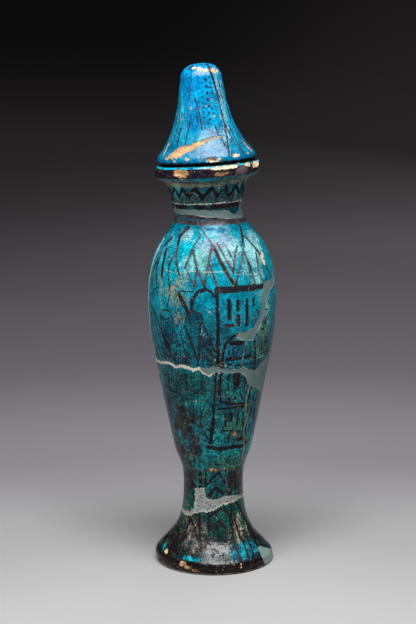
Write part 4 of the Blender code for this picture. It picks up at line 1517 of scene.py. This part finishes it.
def vase_glaze():
    glaze = Glaze("vase_glaze", VASE, 0.35)
    vase_ground(glaze)
    # a painted highlight: the shoulder's sheen, laid into the colour
    painted_sheen = vase_painted_sheen(glaze)
    vase_neck(glaze)
    vase_paint(glaze, painted_sheen)
    vase_edges(glaze)
    point = glaze.point
    open_part = noise_at(point, 5.0, 2.0).smooth(0.46, 0.58)
    crack, tan, plaster = vase_cracks(glaze, open_part)
    fill, coarse, gravel = vase_fills(glaze, open_part)
    chip, bare_height = glaze.chipped(1.3, 3.2, 0.42, 0.8, VASE_CHIP_BORDER)
    glaze.over(glaze.band(-9.0, 1.2, 0.3, 0.35) * 0.85, BASE_TAN)

    # crazing low down, and what all of this does to the shine and the relief
    # plaster here also holds the painted highlight along the left edge, which shines less too
    dull = fill.math("MAXIMUM", plaster) * 0.35
    low = glaze.rising(30, 18)
    wander = combine(noise_at(point, 3.0, 3.0) * 6.0, noise_at(point, 5.0, 2.0) * 5.0)
    places = glaze.folded.vector("ADD", wander).vector("MULTIPLY", (1.0, 0.45, 1.0))
    crazing = cells_at(places, 2.2, "DISTANCE_TO_EDGE").smooth(0.085, 0.03)
    crazing = crazing * low * glaze.mottle.smooth(0.44, 0.54) * (1.0 - fill)
    glaze.over(crazing * 0.9, DARK_PAINT_AND_SHADOW)
    gloss = glaze.rising(8, 50, 0.05, 0.13)
    rough = gloss + glaze.speckle.smooth(0.4, 0.6, 0.0, 0.08) + dull + chip * 0.5 + coarse * 0.45
    relief = (glaze.height * (1.0 - fill * 0.75) * (1.0 - low * 0.45) + bare_height * chip * 0.8
              - gravel * coarse * 0.7 - crack * 0.35 - tan * 0.3)
    glaze.duller(dull * 2.0)
    glaze.duller(crazing)
    return glaze.finish(rough, relief, 0.6)


def lid_glaze():
    glaze = Glaze("lid_glaze", LID, 0.25)
    glaze.ground(LID_SHADES, 0.08)
    glaze.patches(*LID_PATCHES)
    glaze.mottled(0.6, 0.62)

    # painted sheens, whitish and speckled, low on the front and under the crown where the glare falls,
    # and pale streaks down the right side
    for tint, share, *spots in LID_SHEENS_AND_PALE_STREAKS:
        sheen_and_streak = glaze.spots(glaze.front, 1.0, spots) * share
        glaze.over(sheen_and_streak * glaze.speckle.smooth(0.54, 0.47, 0.1, 1.0), tint)
    glaze.matt = sheen_and_streak * 0.45
    painted = glaze.lines("lid lines", LID_LINES, glaze.front)
    behind = glaze.lines("lid back lines", LID_LINES[6:12], glaze.folded)
    marks = glaze.lines("lid dots", dots(DOT_COLUMNS), glaze.front)
    glaze.paint(painted.math("MINIMUM", behind), 0.28, 0.95, PAINT_RED, 0.8)
    glaze.paint(marks, 0.05, 0.95, PAINT_BROWN, 0.8)
    # painted shadow: the lid's lowest edge darkened for the shade in the gap over the rim
    glaze.over(glaze.run.smooth(1.1, 0.5, 0.0, 0.9), DARK_PAINT_AND_SHADOW)
    glaze.over(glaze.grains * 0.7, SAND)
    crack = glaze.lines("lid crack", LID_CRACK, glaze.front).smooth(0.2, -0.12)
    glaze.over(crack * 0.6, CRACK_DARK)
    chip, bare_height = glaze.chipped(1.1, 2.6, 0.36, 0.6, LID_CHIP_BORDER)
    rough = 0.13 + glaze.speckle.smooth(0.4, 0.6, 0.0, 0.08) + chip * 0.5
    relief = glaze.height + bare_height * chip * 0.8 - crack * 0.35
    return glaze.finish(rough, relief, 0.55)


# The two pieces

def make_vase():
    piece = turned_piece("vase_form", VASE, vase_glaze(), Segments=VASE_SEGMENTS,
                         Front_Density=FRONT_DENSITY, Unevenness=0.35, Hollow_Size=14.0, Seed=3.0)
    relief = Relief(piece, VASE)
    relief.chips(VASE_CHIPS)
    relief.fills("fill_edge", VASE_FILLS, FILL_DEPTH)
    relief.fills("coarse_edge", (STEM_FILL,), STEM_FILL_DEPTH, STEM_FILL_GRIT)
    relief.finish()
    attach(piece, "root")
    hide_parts("vase")


def make_lid():
    piece = turned_piece("lid_form", LID, lid_glaze(), Segments=LID_SEGMENTS,
                         Front_Density=FRONT_DENSITY, Unevenness=0.25, Hollow_Size=11.0, Seed=8.0)
    relief = Relief(piece, LID)
    relief.chips(LID_CHIPS, LID_SCRAPES)
    relief.finish()
    shift, tilt = vase_lean(SEAT)
    seat = Vector((shift + LID_SHIFT - SEAT_GAP * math.sin(tilt), 0.0,
                   SEAT + LID_SHIFT * math.tan(tilt) + SEAT_GAP * math.cos(tilt)))
    piece.data.transform(Matrix.Translation(seat * MM) @ Matrix.Rotation(-tilt, 4, "Y"))
    piece.data.update()
    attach(piece, "root")
    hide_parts("lid")


# The stage, the lights and the camera

# in metres, with the stage's colours by distance from its brightest place: painted light, a pool of
# light painted on the floor before the vase that fades to near black on the far wall, and a painted
# patch of light on the wall to the right
STAGE_RADIUS = 2.6
STAGE_FLAT = 1.3
STAGE_HEIGHT = 2.4
STAGE_PAINTED_LIGHT_MIDDLE = (0.0, -0.22, 0.0)
STAGE_PAINTED_FALLOFF = (
    (0.0, (0.314, 0.311, 0.312)), (0.14, (0.304, 0.300, 0.302)), (0.29, (0.238, 0.234, 0.238)),
    (0.43, (0.166, 0.158, 0.169)), (0.76, (0.104, 0.094, 0.106)), (1.39, (0.081, 0.070, 0.079)),
    (1.97, (0.039, 0.034, 0.036)), (2.32, (0.010, 0.009, 0.009)), (2.6, (0.006, 0.005, 0.005)))
STAGE_FAR = 4.0
PAINTED_WALL_LIGHT = (0.45, 1.95, 0.18)
PAINTED_WALL_LIGHT_TINT = (0.110, 0.098, 0.104)


def make_stage():
    """A round pale floor that curves up into a wall on every side, painted with light: bright before
    the vase, darker away from it, and lighter on the wall to the right.
    """
    outline = [(radius, 0.0) for radius in (0.0, 0.12, 0.4, 0.8, STAGE_FLAT)]
    outline += [(STAGE_FLAT + (STAGE_RADIUS - STAGE_FLAT) * math.sin(a),
                 (STAGE_RADIUS - STAGE_FLAT) * (1 - math.cos(a)))
                for a in np.linspace(0.1, math.pi / 2, 14)]
    outline.append((STAGE_RADIUS, STAGE_HEIGHT))
    mesh = bpy.data.meshes.new("studio_floor")
    shape = bmesh.new()
    points = [shape.verts.new((radius, 0.0, level)) for radius, level in outline]
    edges = [shape.edges.new(pair) for pair in zip(points, points[1:])]
    bmesh.ops.spin(shape, geom=points + edges, cent=(0, 0, 0), axis=(0, 0, 1),
                   angle=2 * math.pi, steps=96, use_merge=True)
    bmesh.ops.remove_doubles(shape, verts=shape.verts, dist=1e-5)
    bmesh.ops.recalc_face_normals(shape, faces=shape.faces)
    bmesh.ops.reverse_faces(shape, faces=shape.faces)
    shape.to_mesh(mesh)
    shape.free()
    mesh.shade_smooth()
    floor = bpy.data.objects.new("studio_floor", mesh)
    bpy.context.scene.collection.objects.link(floor)

    material, tree, shader = glossy_base("studio_floor")
    point = object_coordinates(tree)
    # painted light: pale before the vase, falling to near black on the far wall
    away = point.vector("DISTANCE", STAGE_PAINTED_LIGHT_MIDDLE, out=1)
    stops = [(distance / STAGE_FAR, tint) for distance, tint in STAGE_PAINTED_FALLOFF]
    color = ramp(away * (1.0 / STAGE_FAR), stops)
    # painted light: a lighter patch on the wall to the right
    right = point.vector("DISTANCE", PAINTED_WALL_LIGHT, out=1).smooth(0.6, 0.05)
    color = blend(right * 0.26, color, PAINTED_WALL_LIGHT_TINT)
    feed(shader.inputs["Base Color"], color)
    shader.inputs["Roughness"].default_value = 0.9
    shader.inputs["Specular IOR Level"].default_value = 0.1
    mesh.materials.append(material)


def soft_light(name, place, aim, size, watts, mirrored=True, shades=True):
    data = bpy.data.lights.new(name, "AREA")
    data.shape = "RECTANGLE"
    data.size, data.size_y = size
    data.energy = watts
    light = bpy.data.objects.new(name, data)
    light.location = place
    light.rotation_mode = "QUATERNION"
    light.rotation_quaternion = (Vector(aim) - Vector(place)).to_track_quat("-Z", "Y")
    light.visible_camera = False
    light.visible_glossy = mirrored
    light.visible_diffuse = shades
    bpy.context.scene.collection.objects.link(light)


def make_lights():
    middle = (0.0, 0.0, 0.12)
    soft_light("overhead_shine", (0.155, -0.42, 1.15), middle, (0.95, 0.50), 46.0, shades=False)
    soft_light("overhead_softbox", (0.03, -0.42, 1.15), middle, (0.80, 0.50), 26.0, mirrored=False)
    soft_light("left_fill", (-0.9, -1.0, 0.6), middle, (0.8, 0.9), 14.0, mirrored=False)
    soft_light("right_fill", (0.9, -1.2, 0.45), middle, (0.8, 0.9), 10.5, mirrored=False)
    soft_light("rear_fill", (0.5, 1.4, 0.7), middle, (0.9, 0.9), 7.0, mirrored=False)
    world = bpy.data.worlds.new("studio_air")
    world.use_nodes = True
    air = world.node_tree.nodes["Background"]
    air.inputs["Color"].default_value = (0.5, 0.5, 0.52, 1.0)
    air.inputs["Strength"].default_value = 0.03
    bpy.context.scene.world = world
    bpy.context.scene.view_settings.view_transform = "Standard"


# the camera that the photograph's outline gives
CAMERA_PLACE = (-0.0021, -0.805, 0.277)
CAMERA_DOWN = math.radians(10.2)
CAMERA_ROLL = math.radians(-0.45)
CAMERA_LENS = 91.1
CAMERA_SENSOR = 36.0


def make_camera():
    data = bpy.data.cameras.new("camera")
    data.lens = CAMERA_LENS
    data.sensor_width = CAMERA_SENSOR
    data.clip_start, data.clip_end = 0.05, 20.0
    camera = bpy.data.objects.new("camera", data)
    turn = Matrix.Rotation(math.pi / 2 - CAMERA_DOWN, 4, "X") @ Matrix.Rotation(CAMERA_ROLL, 4, "Z")
    camera.matrix_world = Matrix.Translation(CAMERA_PLACE) @ turn
    bpy.context.scene.collection.objects.link(camera)
    bpy.context.scene.camera = camera


make_camera()
make_vase()
make_lid()
make_stage()
make_lights()
